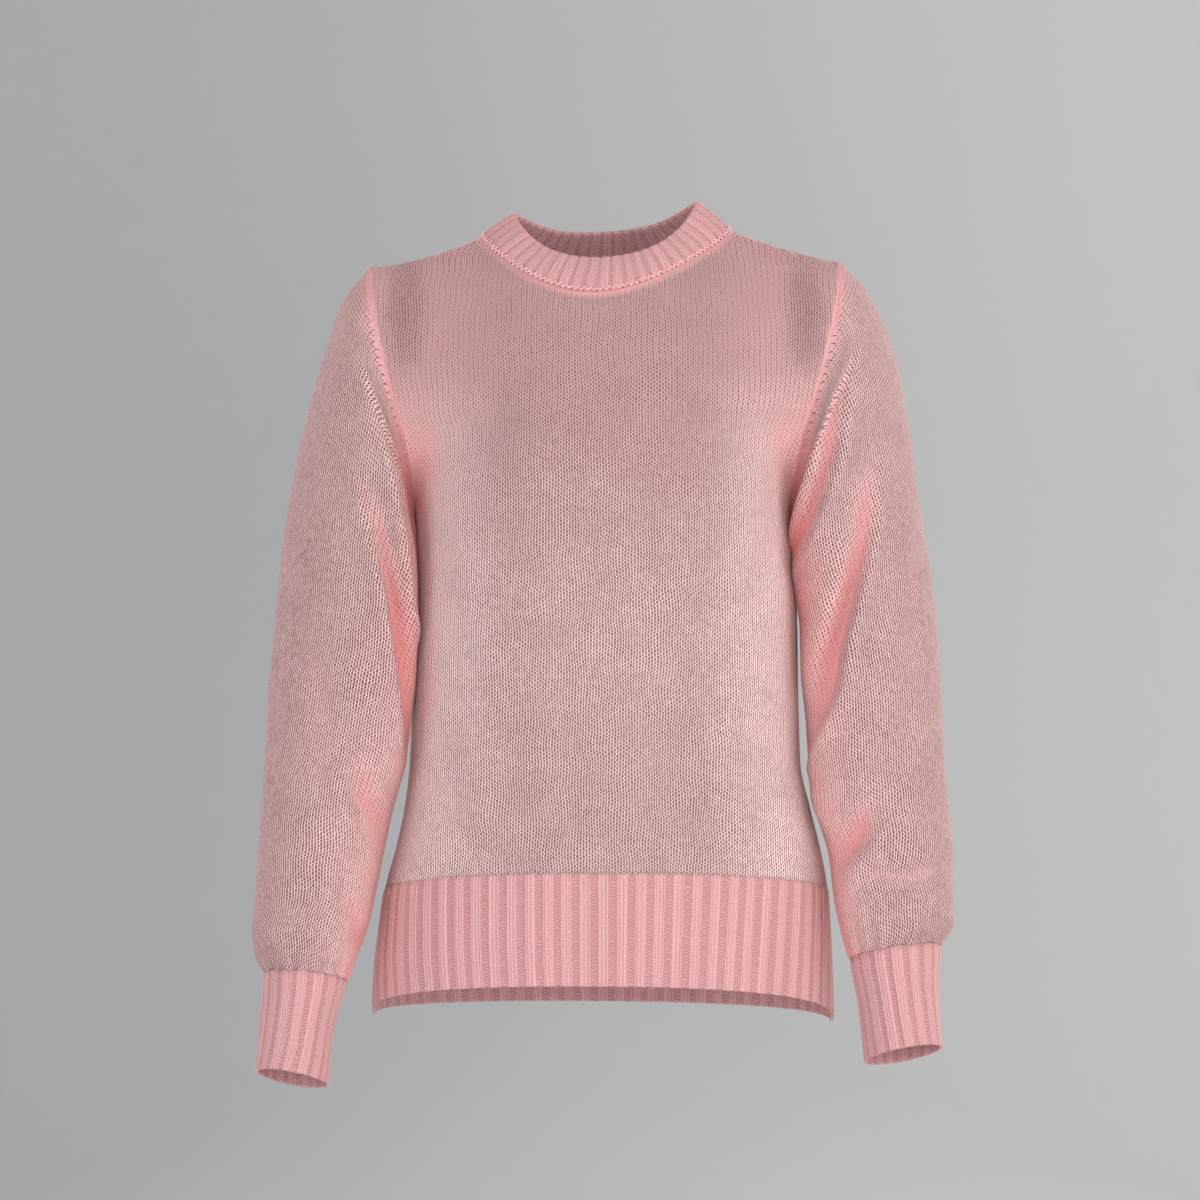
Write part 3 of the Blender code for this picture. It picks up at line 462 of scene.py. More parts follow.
def sleeve_point(name, w, angle):
    """Points of a sleeve: w is 0 at the armhole, 1 at the cuff seam, 2 at the cuff edge.

    The angle is in radians: 0 outside, a quarter turn at the front, half a turn at the body.
    """
    w, angle = np.broadcast_arrays(np.asarray(w, float), np.asarray(angle, float))
    table = SLEEVE_SECTIONS[name]
    side = SIDES[name]
    row = {c: read(table, SLEEVE_COLUMNS, c, w) for c in SLEEVE_COLUMNS[1:]}
    cosine, sine = np.cos(angle), np.sin(angle)
    t = (1 + cosine) / 2
    centre_x, centre_z = (row["out_x"] + row["in_x"]) / 2, (row["out_z"] + row["in_z"]) / 2
    x_reach = (row["out_x"] - row["in_x"]) / 2 * cosine
    z_reach = (row["out_z"] - row["in_z"]) / 2 * cosine
    y_reach = -np.where(sine > 0, row["front"], row["back"]) * sine

    # The armhole bows a little; the first sections of the sleeve lose that bow.
    straight_x = blend(UNDERARM_HALF_WIDTH, SHOULDER_TIP_X[name], t)
    bow = (armhole_x(side, t) - straight_x) * (1 - smoothstep(w / ARMHOLE_BOW_REACH))

    height = sleeve_crease(name, w, np.mod(angle + math.pi, 2 * math.pi) - math.pi)
    reach = np.sqrt(x_reach**2 + y_reach**2 + z_reach**2)
    swell = 1 + height / reach

    x = centre_x + x_reach * swell + bow + row["lean"] * y_reach * swell
    y = row["mid_y"] + y_reach * swell
    z = centre_z + z_reach * swell - row["tilt"] * y_reach * swell
    return np.stack([side * x, y, z], axis=-1)


# ---- shells from grids
def grid_normals(grid, closed, flip):
    """Outward direction at each point of a grid, from the cells round it."""
    wide = np.concatenate([grid[:, -1:], grid, grid[:, :1]], axis=1) if closed else grid
    normals = np.cross(np.gradient(wide, axis=1), np.gradient(wide, axis=0))
    if closed:
        normals = normals[:, 1:-1]
    return unit(-normals if flip else normals)


def quads(rows, columns, closed):
    """Corner indices of a grid's cells, and the same for its stitch coordinates."""
    r, c = np.meshgrid(np.arange(rows - 1), np.arange(columns if closed else columns - 1),
                       indexing="ij")
    r, c = r.ravel(), c.ravel()
    after = (c + 1) % columns
    wide = columns + 1 if closed else columns
    corners = (r * columns + c, r * columns + after,
               (r + 1) * columns + after, (r + 1) * columns + c)
    places = (r * wide + c, r * wide + c + 1, (r + 1) * wide + c + 1, (r + 1) * wide + c)
    return np.stack(corners, axis=1), np.stack(places, axis=1)


def new_object(name, verts, faces, uvs=None, marks=None):
    """A smooth object; faces is an array, or a list where their sizes differ."""
    mesh = bpy.data.meshes.new(name)
    mesh.from_pydata(verts.tolist(), [], faces if isinstance(faces, list) else faces.tolist())
    if uvs is not None:
        mesh.uv_layers.new(name="stitch").uv.foreach_set("vector", uvs.astype(np.float32).ravel())
    for mark, values in (marks or {}).items():
        attribute = mesh.attributes.new(mark, "FLOAT", "POINT")
        attribute.data.foreach_set("value", np.asarray(values, np.float32).ravel())
    mesh.update()
    mesh.shade_smooth()
    ob = bpy.data.objects.new(name, mesh)
    bpy.context.scene.collection.objects.link(ob)
    return ob


def shell(name, grid, stitches, half, closed=False, flip=False, marks=None, ripple=0.0):
    """A thin closed shell round a middle surface.

    half is half the thickness at each point, and ripple moves the cloth out or in.
    """
    rows, columns = grid.shape[:2]
    normals = grid_normals(grid, closed, flip)
    middle = grid + normals * np.broadcast_to(ripple, grid.shape[:2])[..., None]
    offset = normals * np.broadcast_to(half, grid.shape[:2])[..., None]
    verts = np.concatenate([(middle + offset).reshape(-1, 3), (middle - offset).reshape(-1, 3)])
    count = rows * columns
    corners, places = quads(rows, columns, closed)
    wide = stitches.shape[1]
    faces, places = [corners, corners[:, ::-1] + count], [places, places[:, ::-1]]
    c = np.arange(columns if closed else columns - 1)
    after = (c + 1) % columns
    for r, turn in ((0, 1), (rows - 1, -1)):
        a, b, u = r * columns + c, r * columns + after, r * wide + c
        faces.append(np.stack([a + count, b + count, b, a], axis=1)[:, ::turn])
        places.append(np.stack([u, u + 1, u + 1, u], axis=1)[:, ::turn])
    if not closed:
        r = np.arange(rows - 1)
        for column, turn in ((0, 1), (columns - 1, -1)):
            a, b = r * columns + column, (r + 1) * columns + column
            faces.append(np.stack([a, b, b + count, a + count], axis=1)[:, ::turn])
            places.append(np.stack([a, b, b, a], axis=1)[:, ::turn])
    faces, places = np.concatenate(faces), np.concatenate(places)
    if flip:
        faces, places = faces[:, ::-1], places[:, ::-1]
    doubled = {k: np.concatenate([v.ravel(), v.ravel()]) for k, v in (marks or {}).items()}
    # The inner wall is marked; the plain knit's material paints shade on it.
    doubled["inside"] = np.repeat([0.0, 1.0], count)
    return new_object(name, verts, faces, stitches.reshape(-1, 2)[places], doubled)


def nearness(grid, points, reach):
    """1 at the given points, falling to 0 at the distance reach from them."""
    reach = np.broadcast_to(reach, grid.shape[:2]).ravel()
    flat = grid.reshape(-1, 3)
    best = np.full(len(flat), np.inf)
    for start in range(0, len(points), POINTS_AT_ONCE):
        part = points[start:start + POINTS_AT_ONCE]
        gap = ((flat[:, None, :] - part[None]) ** 2).sum(axis=-1)
        best = np.minimum(best, gap.min(axis=1))
    return 1 - smoothstep(np.sqrt(best) / reach).reshape(grid.shape[:2])


def arc_across(grid, normals, direction):
    """Length along each row of a grid, without the part that runs along a direction."""
    along = unit(direction - normals * (direction * normals).sum(axis=-1, keepdims=True))
    step = np.diff(grid, axis=1)
    middle = unit(along[:, 1:] + along[:, :-1])
    step = step - middle * (step * middle).sum(axis=-1, keepdims=True)
    run = np.cumsum(np.linalg.norm(step, axis=-1), axis=1)
    return np.concatenate([np.zeros((len(grid), 1)), run], axis=1)


# ---- body panels
PANEL_NECK_COLUMNS = 60
PANEL_SIDE_COLUMNS = 46
PANEL_LOWER_ROWS = 96
PANEL_UPPER_ROWS = 74
YOKE_TOP_SPARE = 0.03           # how far the rows are counted on above the guide column

# Distances over which the knit closes up at a seam. The sides' reach runs well past the seam, so its
# opaque seam pink also paints a pink glow over the shade on the body's sides beside the sleeves.
SEAM_REACH = {"armhole": 0.0036, "shoulder tip": 0.0040, "side": 0.0140, "shoulder": 0.0050,
              "neck": 0.0080}
SHOULDER_TIP_FROM = (-0.16, 0.10)       # where the armhole's reach changes to the tip's

# Eyelets open up down the body, and close towards its sides and beside the armholes.
# Start and reach of each change, then the share before and after it.
OPEN_BELOW_YOKE = (0.06, 0.16, 0.86, 1.04)
OPEN_BELOW_WAIST = (0.30, 0.14, 1.0, 1.10)
OPEN_AT_SIDE = (0.060, 0.075, 1.0, 0.80)
DRAWN_REACH = 0.045
DRAWN_BELOW = (0.085, 0.06, 0.0, 0.30)
LOOSE_SPOTS = {"front": ((-0.147, -0.050), (0.151, -0.052)), "back": ()}
LOOSE_REACH = (0.025, 0.068)
LOOSE_OPEN = 0.52

# The yoke is the sheerest and takes the most painted shade, and the sides take the least of both.
SHEER_AND_SHADE_BELOW_YOKE = (0.08, 0.20, 1.0, 0.35)
SHEER_AND_SHADE_SIDE_SHARE = 0.15
SHEER_AND_SHADE_SIDE_BELOW = (0.08, 0.08)


def even_shares(face, v):
    """Even shares of a row's length, and the torso's s at each."""
    s = np.linspace(-1, 1, FINER)
    run = arc(torso_point(face, s, v))
    middle = np.interp(0.0, s, run)
    return np.where(s < 0, (run - middle) / middle, (run - middle) / (run[-1] - middle)), s


def panel_columns(face):
    """Columns evenly spread along the panel, with one at each neck point."""
    share, s = even_shares(face, EVEN_AT["panel"])
    edge = np.interp(NECK_SHARE, s, share)
    inner = np.linspace(-edge, edge, PANEL_NECK_COLUMNS + 1)
    outer = np.linspace(edge, 1, PANEL_SIDE_COLUMNS + 1)[1:]
    return np.interp(np.concatenate([-outer[::-1], inner, outer]), share, s)


def panel_stitches(grid, rows, face):
    """Stitch coordinates of a panel: wales from its middle, courses from the rib."""
    run = arc_across(grid, grid_normals(grid, False, face == "back"), np.array([0.0, 0.0, 1.0]))
    middle = grid.shape[1] // 2
    u = (run - run[:, middle:middle + 1]) / WALE
    guide = grid[int(np.argmin(np.abs(rows))):, PANEL_SIDE_COLUMNS // 2]
    climb = arc(guide[:, 1:]) / COURSE
    lower = (UNDERARM_Z - RIB_TOP_SIDE_Z) / COURSE
    height = np.concatenate([guide[:, 2], [guide[-1, 2] + YOKE_TOP_SPARE]])
    climb = np.concatenate([climb, [climb[-1] + YOKE_TOP_SPARE / COURSE]])
    v = rows[:, None]
    upper = np.interp(grid[..., 2], height, climb)
    return np.stack([u, lower + np.where(v > 0, upper, lower * v)], axis=-1)


def spot(grid, centre, reach):
    """1 at a point of the front or back, falling to 0 at the reach across and up from it."""
    x, z = (grid[..., 0] - centre[0]) / reach[0], (grid[..., 2] - centre[1]) / reach[1]
    return 1 - smoothstep(np.sqrt(x**2 + z**2))


def armhole_reach(grid):
    """Reach of the armhole's seam mark, from the underarm to the tip of the shoulder."""
    return ramp(grid[..., 2], *SHOULDER_TIP_FROM, SEAM_REACH["armhole"], SEAM_REACH["shoulder tip"])


def make_panel(face):
    lower = np.linspace(-1, 0, PANEL_LOWER_ROWS + 1)
    upper = (1 + np.sin(np.linspace(-math.pi / 2, math.pi / 2, PANEL_UPPER_ROWS + 1))) / 2
    rows = np.concatenate([lower, upper[1:]])
    grid = torso_point(face, panel_columns(face)[None, :], rows[:, None])
    aside, below = np.abs(grid[..., 0]), -grid[..., 2]
    first, last = PANEL_SIDE_COLUMNS, PANEL_SIDE_COLUMNS + PANEL_NECK_COLUMNS
    sides, armholes = (part[:, (0, -1)].reshape(-1, 3)
                       for part in (grid[:PANEL_LOWER_ROWS], grid[PANEL_LOWER_ROWS:]))
    shoulders = np.concatenate([grid[-1, :first + 1], grid[-1, last:]])
    seam = np.maximum.reduce([
        nearness(grid, armholes, armhole_reach(grid)),
        nearness(grid, sides, SEAM_REACH["side"]),
        nearness(grid, shoulders, SEAM_REACH["shoulder"]),
        nearness(grid, grid[-1, first:last + 1], SEAM_REACH["neck"])])
    opened = (ramp(below, *OPEN_BELOW_YOKE) * ramp(below, *OPEN_BELOW_WAIST)
              * ramp(aside, *OPEN_AT_SIDE))
    for place in LOOSE_SPOTS[face]:
        opened = opened + LOOSE_OPEN * spot(grid, place, LOOSE_REACH)
    opened = opened * (1 - nearness(grid, armholes, DRAWN_REACH) * ramp(below, *DRAWN_BELOW))
    at_side = ramp(aside, *OPEN_AT_SIDE[:2]) * ramp(below, *SHEER_AND_SHADE_SIDE_BELOW)
    # Sheerness, with painted shade of the dark inside seen through: most in the yoke, least at the
    # sides.
    sheer_and_shade = ramp(below, *SHEER_AND_SHADE_BELOW_YOKE) * blend(1.0, SHEER_AND_SHADE_SIDE_SHARE, at_side)
    return shell(f"{face}_body", grid, panel_stitches(grid, rows, face), BODY_WALL / 2,
                 flip=face == "back", marks={"seam": seam, "open": opened, "sheer_and_shade": sheer_and_shade})


# ---- sleeves
SLEEVE_ROWS = 170
SLEEVE_ROW_POWER = 1.15         # rows crowd together towards the cuff
SLEEVE_COLUMNS_ROUND = 116
GATHER_DEPTH = 0.0011
GATHER_REACH = 0.045
GATHER_WAVES = ((CUFF_REPEATS, 1.0, 0.0), (7, 0.5, 1.0))        # round it, height and start
GATHER_START = 0.90             # share of the sleeve from which the wales crowd together
CAP_SHARE = 0.16                # share of the sleeve over which its courses follow the armhole

# Start and reach of each change down the sleeve or round it, then the share before and
# after it. The inner side is counted in radians from the line that faces the body.
INNER_SIDE = (0.35, 1.3, 1.0, 0.0)
UPPER_PART = (0.20, 0.45, 1.0, 0.0)
FULL_HOLLOW = 0.0085            # depth of a crease at which its painted shade and painted red glow are full
OPEN_DOWN_SLEEVE = (0.0, 0.6, 1.08, 1.20)
SHEER_AND_SHADE_DOWN_SLEEVE = (0.0, 0.5, 0.30, 0.15)
CAP_REACH = 0.020

# What the inner side, the hollows and the cap take off the eyelets' size, how much they
# change the sheerness and its painted shade (the inner side takes it off), and the painted red glow of
# each.
CLOSES = {"inner": 0.35, "hollow": 0.65, "cap": 0.30}
SHEER_AND_SHADE_CHANGES = {"inner": 0.70, "hollow": 0.55, "cap": 0.50}
# Painted red glow of light through the cloth: in the shaded hollows, on the inner side by the body, and
# a little over the whole sleeve.
PAINTED_GLOW_SHARES = {"all": 0.08, "hollow": 0.30, "inner low": 0.25, "inner high": 1.00}


def sleeve_stitches(grid, rows):
    """Stitch coordinates of a sleeve: wales from its outside line, courses from the cuff."""
    powers = rows[:, None] ** np.arange(4)
    fit, *_ = np.linalg.lstsq(powers, grid[:, :-1].mean(axis=1), rcond=None)
    centre = powers @ fit
    axis = unit(np.gradient(centre, axis=0))[:, None]
    near = 1 - smoothstep(rows / CAP_SHARE)[:, None, None]
    along = blend(np.broadcast_to(axis, grid.shape), unit(np.gradient(grid, axis=0)), near)
    run = arc_across(grid, 0 * grid, along)
    middle = run.shape[1] // 2
    run = run - run[:, middle:middle + 1]
    gather_row = int(np.argmin(np.abs(rows - GATHER_START)))
    gathered = np.arange(len(rows)) > gather_row
    scale = np.where(gathered, np.ptp(run[gather_row]) / np.ptp(run, axis=1), 1.0)
    climb = np.cumsum(np.linalg.norm(np.diff(centre[::-1], axis=0), axis=1))[::-1]
    climb = np.concatenate([climb, [0.0]])[:, None] - ((grid - centre[:, None]) * axis).sum(axis=-1)
    cap = int(np.argmin(np.abs(rows - CAP_SHARE)))
    steps = np.linalg.norm(np.diff(grid[:cap + 1], axis=0), axis=-1)
    climb[:cap] = climb[cap] + np.cumsum(steps[::-1], axis=0)[::-1]
    return np.stack([run * scale[:, None] / WALE, climb / COURSE], axis=-1)


def make_sleeve(name):
    rows = 1 - np.linspace(1.0, 0.0, SLEEVE_ROWS + 1) ** SLEEVE_ROW_POWER
    fine = np.linspace(-math.pi, math.pi, FINE)
    angles = evenly(sleeve_point(name, EVEN_AT["sleeve"], fine), fine, SLEEVE_COLUMNS_ROUND)
    whole = sleeve_point(name, rows[:, None], angles[None, :])
    grid, angles = whole[:, :-1], angles[:-1]
    share = around(SLEEVE_COLUMNS_ROUND)
    gather = sum(height * np.cos(waves * share + start) for waves, height, start in GATHER_WAVES)
    fade = smoothstep((rows - (1 - GATHER_REACH)) / GATHER_REACH)
    inner = ramp(math.pi - np.abs(angles), *INNER_SIDE)[None, :]
    upper = ramp(rows, *UPPER_PART)[:, None]
    hollow = np.clip(-sleeve_crease(name, rows[:, None], angles[None, :]) / FULL_HOLLOW, 0, 1)
    cap = nearness(grid, grid[0], CAP_REACH)
    # Painted red glow where shade falls: in the hollows and on the inner side, most up by the underarm.
    painted_glow = (PAINTED_GLOW_SHARES["all"] + hollow * PAINTED_GLOW_SHARES["hollow"]
             + inner * blend(PAINTED_GLOW_SHARES["inner low"], PAINTED_GLOW_SHARES["inner high"], upper))
    opened = ramp(rows, *OPEN_DOWN_SLEEVE)[:, None]
    for part, where in (("inner", inner), ("hollow", hollow), ("cap", cap)):
        opened = opened * (1 - CLOSES[part] * where)
    # Sheerness and painted shade: more in the hollows, where it paints the crease's shade, and by the
    # armhole seam; less on the inner side.
    sheer_and_shade = (ramp(rows, *SHEER_AND_SHADE_DOWN_SLEEVE)[:, None] * (1 - SHEER_AND_SHADE_CHANGES["inner"] * inner)
             + SHEER_AND_SHADE_CHANGES["hollow"] * hollow + SHEER_AND_SHADE_CHANGES["cap"] * cap)
    marks = {"seam": np.maximum(nearness(grid, grid[0], armhole_reach(grid)),
                                nearness(grid, grid[:, 0], SEAM_REACH["side"])),
             "open": opened, "sheer_and_shade": np.clip(sheer_and_shade, 0, 1), "painted_glow": np.clip(painted_glow, 0, 1)}
    return shell(f"{name}_sleeve", grid, sleeve_stitches(whole, rows), BODY_WALL / 2, True,
                 name == "right", marks, GATHER_DEPTH * fade[:, None] * gather[None, :])


# ---- ribs
COLUMNS_PER_REPEAT = 14
STITCHES_PER_REPEAT = 4
RIB_EDGE_WIDTH = 0.022
RIB_LIP = 0.16                  # height of the lip along a band's edge, its place and width
RIB_LIP_AT = -0.055
RIB_LIP_WIDTH = 0.040
RIB_DEPTH = {"hem": 0.0009, "cuff": 0.0011, "collar": 0.0008}
RIB_RAISED = {"hem": 0.56, "cuff": 0.64, "collar": 0.64}
RIB_MIDDLE = 0.6                # height of a rib that lies at the middle of its wall
HEM_RAISED = (0.72, 0.22, RIB_RAISED["hem"], 0.82)      # the ribs close up towards the sides
HEM_RELIEF = (0.97, 0.03, 1.0, 0.0)                     # and their relief dies out there
HEM_ROWS, CUFF_ROWS = 31, 27
HEM_LENGTH = 0.10
HEM_STRAIGHTENING = 0.08        # the ribs run straighter down than the hem flares
HEM_STRAIGHTENING_POWER = 8
CUFF_LENGTH = 0.078
CUFF_TURN = {"right": (0.09, 0.18, 0.0), "left": (0.15, 0.09, 0.0)}
WALL_TAPER = 0.006              # over which a rib's wall thins to the plain knit's
RELIEF_FADE = {"join": 0.003, "collar": 0.004}
EDGE_STEPS = (0.0, 0.12, 0.4, 0.75)     # rows at a free edge, in shares of half the wall
EDGE_FULL = (0.15, 0.55, 0.85, 0.98)    # and how full the wall is at each
COLLAR_BAND_ROWS = 13
COLLAR_CREST_ROWS = 6
COLLAR_FOOT = (0.55, 0.80, 0.95)        # share of the wall in its first rows
COLLAR_CREST_RELIEF = 0.25


def rounded_end(rows, length):
    """More rows at a free edge, where the rows end, and how full the wall is at each."""
    steps = np.array(EDGE_STEPS) * RIB_WALL / 2 / length
    inner = rows[np.abs(rows - rows[-1]) > RIB_WALL / 2 / length]
    edge = rows[-1] + np.sign(rows[0] - rows[-1]) * steps[::-1]
    return np.concatenate([inner, edge]), np.concatenate([np.ones(len(inner)), EDGE_FULL[::-1]])


def rib_edge(phase, raised):
    """Distance past the edge of the raised band, in repeats: less than 0 on the band."""
    return np.abs(phase - np.round(phase)) - raised / 2


def rib_wave(edge):
    """Height of a rib: 1 on the raised band, higher along its edge, 0 in the groove."""
    wave = 1 / (1 + np.exp(np.clip(edge / RIB_EDGE_WIDTH, -30, 30)))
    return wave + RIB_LIP * np.exp(-((edge - RIB_LIP_AT) / RIB_LIP_WIDTH) ** 2)


def rib_band(name, kind, grid, phase, edge, full, past, calm, closed, flip):
    """A band of rib; past is the distance of each row from the plain knit."""
    rise = np.linalg.norm(np.diff(grid, axis=0), axis=-1)
    climb = np.concatenate([np.zeros((1, grid.shape[1])), np.cumsum(rise, axis=0)]) / RIB_COURSE
    if closed:
        climb = np.concatenate([climb, climb[:, :1]], axis=1)
    full = full * blend(BODY_WALL / RIB_WALL, 1.0, smoothstep(past / WALL_TAPER))
    fade = smoothstep(past / RELIEF_FADE["join"])[:, None]
    ripple = RIB_DEPTH[kind] * (rib_wave(edge) - RIB_MIDDLE) * fade * calm
    return shell(name, grid, np.stack([phase * STITCHES_PER_REPEAT, climb], axis=-1),
                 RIB_WALL / 2 * full[:, None], closed, flip, {"edge": edge}, ripple)


def make_hem(face):
    rows, full = (part[::-1] for part in rounded_end(np.linspace(-1, -2, HEM_ROWS), HEM_LENGTH))
    share, s = even_shares(face, EVEN_AT["hem"])
    even = np.linspace(-1, 1, HEM_REPEATS * COLUMNS_PER_REPEAT + 1)
    grid = torso_point(face, np.interp(even, share, s)[None, :], rows[:, None])
    down = np.clip(-1 - rows, 0, 1)[:, None]
    inward = 1 - even[None, :] ** HEM_STRAIGHTENING_POWER
    phase = even[None, :] * (1 + HEM_STRAIGHTENING * down * inward) * HEM_REPEATS / 2
    edge = rib_edge(phase, ramp(np.abs(even), *HEM_RAISED))
    calm = ramp(np.abs(even), *HEM_RELIEF)[None, :]
    return rib_band(f"{face}_hem", "hem", grid, phase, edge, full, (-1 - rows) * HEM_LENGTH,
                    calm, False, face == "back")


def make_cuff(name):
    rows, full = rounded_end(np.linspace(1, 2, CUFF_ROWS), CUFF_LENGTH)
    count = CUFF_REPEATS * COLUMNS_PER_REPEAT
    fine = np.linspace(0, 2 * math.pi, FINE)
    angles = evenly(sleeve_point(name, EVEN_AT["cuff"], fine), fine, count)[:-1]
    top, middle, low = CUFF_TURN[name]
    w = rows - 1
    turn = top * (1 - w) * (1 - 2 * w) + middle * 4 * w * (1 - w) + low * w * (2 * w - 1)
    grid = sleeve_point(name, rows[:, None], angles[None, :] + turn[:, None])
    phase = np.broadcast_to(np.linspace(0, CUFF_REPEATS, count + 1), (len(rows), count + 1))
    return rib_band(f"{name}_cuff", "cuff", grid, phase, rib_edge(phase[:, :-1], RIB_RAISED["cuff"]),
                    full, w * CUFF_LENGTH, 1.0, True, name == "right")


def neck_ring(turn):
    """Points of the neck seam at turns from the front (0) over the left side (a quarter)."""
    turn = np.mod(turn + math.pi / 2, 2 * math.pi) - math.pi / 2
    front = turn <= math.pi / 2
    share = np.where(front, turn, math.pi - turn) / (math.pi / 2) * NECK_SHARE
    points = np.where(front[..., None], torso_point("front", share, 1.0),
                      torso_point("back", share, 1.0))
    return points, np.sin(turn), np.cos(turn)


def collar_top(sine, cosine):
    mean, front_back, side_middle, quarters, tilt = COLLAR_TOP_WAVES
    double = 2 * cosine ** 2 - 1
    height = (mean + front_back * cosine + side_middle * double
              + quarters * (2 * double ** 2 - 1) + tilt * sine)
    return np.stack([COLLAR_TOP_CENTRE[0] + COLLAR_TOP_RADII[0] * sine,
                     COLLAR_TOP_CENTRE[1] - COLLAR_TOP_RADII[1] * cosine, height], axis=-1)


def make_collar():
    """The collar: up the outside, over a rounded crest and down the inside."""
    fine = np.linspace(0, 2 * math.pi, FINER)
    seam, sine, cosine = neck_ring(fine)
    count = COLLAR_REPEATS * COLUMNS_PER_REPEAT
    turns = evenly(blend(seam, collar_top(sine, cosine), 0.5), fine, count)[:-1]
    seam, sine, cosine = neck_ring(turns)
    top = collar_top(sine, cosine)
    outward = np.stack([sine, -cosine, 0 * sine], axis=-1)
    height = np.linalg.norm(top - seam, axis=-1).mean()
    half = COLLAR_WALL / 2
    fold = 1 - half / height
    over = np.linspace(0, math.pi / 2, COLLAR_CREST_ROWS + 1)[1:]
    share = np.concatenate([np.linspace(0, fold, COLLAR_BAND_ROWS), fold + (1 - fold) * np.sin(over)])
    grid = (blend(seam[None], top[None], share[:, None, None])
            + COLLAR_BULGE * np.sin(math.pi * share)[:, None, None] * outward[None])
    normals = grid_normals(grid, True, False)
    thick = np.concatenate([np.full(COLLAR_BAND_ROWS, half), half * np.cos(over)])
    thick[:len(COLLAR_FOOT)] *= COLLAR_FOOT
    phase = np.linspace(0, COLLAR_REPEATS, count + 1)
    edge = rib_edge(phase[:-1], RIB_RAISED["collar"])
    fade = smoothstep(share * height / RELIEF_FADE["collar"])[:, None]
    relief = (RIB_DEPTH["collar"] * (rib_wave(edge)[None] - 1) * fade
              * blend(COLLAR_CREST_RELIEF, 1.0, (thick / half)[:, None]))
    away = normals * (thick[:, None] + relief)[..., None]
    crest = grid[-1] + np.array([0, 0, 1.0]) * relief[-1][:, None]
    loop = np.concatenate([(grid + away)[:-1], crest[None], (grid - away)[:-1][::-1]])
    rows, wide = len(loop), count + 1
    corners, places = quads(rows + 1, count, True)
    steps = np.linalg.norm(np.diff(loop, axis=0), axis=-1).mean(axis=1)
    climb = np.concatenate([[0], np.cumsum(steps)])
    stitches = np.stack([np.broadcast_to(phase * STITCHES_PER_REPEAT, (rows, wide)),
                         np.broadcast_to((climb / RIB_COURSE)[:, None], (rows, wide))], axis=-1)
    return new_object("collar", loop.reshape(-1, 3), corners % (rows * count),
                      stitches.reshape(-1, 2)[places % (rows * wide)],
                      {"edge": np.broadcast_to(edge, (rows, count))})


# ---- rows of loops at the seams
STRAND_SIDES = 6
STRAND_STATIONS = 6
STRAND_FILL = 0.98              # how far its stations reach into its rounded ends
LYING_SLANT = 0.73              # of a lying loop's legs, and their length to the step
LYING_LENGTH = 0.63


def link_row(name, path, outward, pitch, spread, thick, closed=False, lift=0.0, upright=False):
    """A row of V-shaped loops along a path: two slanted strands to each step.

    The loops lie along the path, or stand across it where upright is set.
    """
    def along(values, where):
        full = np.concatenate([values, values[:1]]) if closed else values
        return np.stack([np.interp(where, run, full[:, k]) for k in range(3)], axis=-1)

    run = arc(np.concatenate([path, path[:1]]) if closed else path)
    count = int(round(run[-1] / pitch))
    at = np.linspace(0, run[-1], count + 1)
    at = at[:-1] if closed else at
    step = run[-1] / count
    centre = along(path, at)
    ahead = unit(along(path, np.minimum(at + step / 2, run[-1]))
                 - along(path, np.maximum(at - step / 2, 0)))
    out = unit(along(outward, at))
    side = unit(np.cross(ahead, out))
    turns = around(STRAND_SIDES)
    stations = np.linspace(-1, 1, STRAND_STATIONS)
    swell = np.sqrt(1 - (stations * STRAND_FILL) ** 2)
    corners, _ = quads(STRAND_STATIONS, STRAND_SIDES, True)
    strand = STRAND_STATIONS * STRAND_SIDES
    verts, faces = [], []
    for hand in (-1.0, 1.0):
        if upright:
            leg = (ahead * hand * step + side * spread) / 2
            middle = centre + ahead * (hand * step / 4) + out * lift
        else:
            leg = (ahead + side * LYING_SLANT * hand) * step * LYING_LENGTH
            middle = centre + side * (hand * spread / 2) + out * lift
        across = unit(np.cross(unit(leg), out))
        ring = (np.cos(turns)[None, None, :, None] * across[:, None, None, :]
                + np.sin(turns)[None, None, :, None] * out[:, None, None, :])
        body = (middle[:, None, None, :] + stations[None, :, None, None] * leg[:, None, None, :]
                + ring * (swell * thick / 2)[None, :, None, None])
        base = (np.arange(len(body)) * strand)[:, None] + len(verts) * len(body) * strand
        verts.append(body.reshape(-1, 3))
        faces += (corners[None] + base[:, :, None]).reshape(-1, 4).tolist()
        ends = np.arange(STRAND_SIDES)[::-1], strand - STRAND_SIDES + np.arange(STRAND_SIDES)
        for cap in ends:
            faces += (cap[None] + base).tolist()
    return new_object(name, np.concatenate(verts), faces)


# ---- materials
class Value:
    """A number that a material works out."""

    def __init__(self, tree, socket):
        self.tree, self.socket = tree, socket

    def __add__(self, other):
        return self.tree.math("ADD", self, other)

    def __sub__(self, other):
        return self.tree.math("SUBTRACT", self, other)

    def __rsub__(self, other):
        return self.tree.math("SUBTRACT", other, self)

    def __mul__(self, other):
        return self.tree.math("MULTIPLY", self, other)

    def __truediv__(self, other):
        return self.tree.math("DIVIDE", self, other)


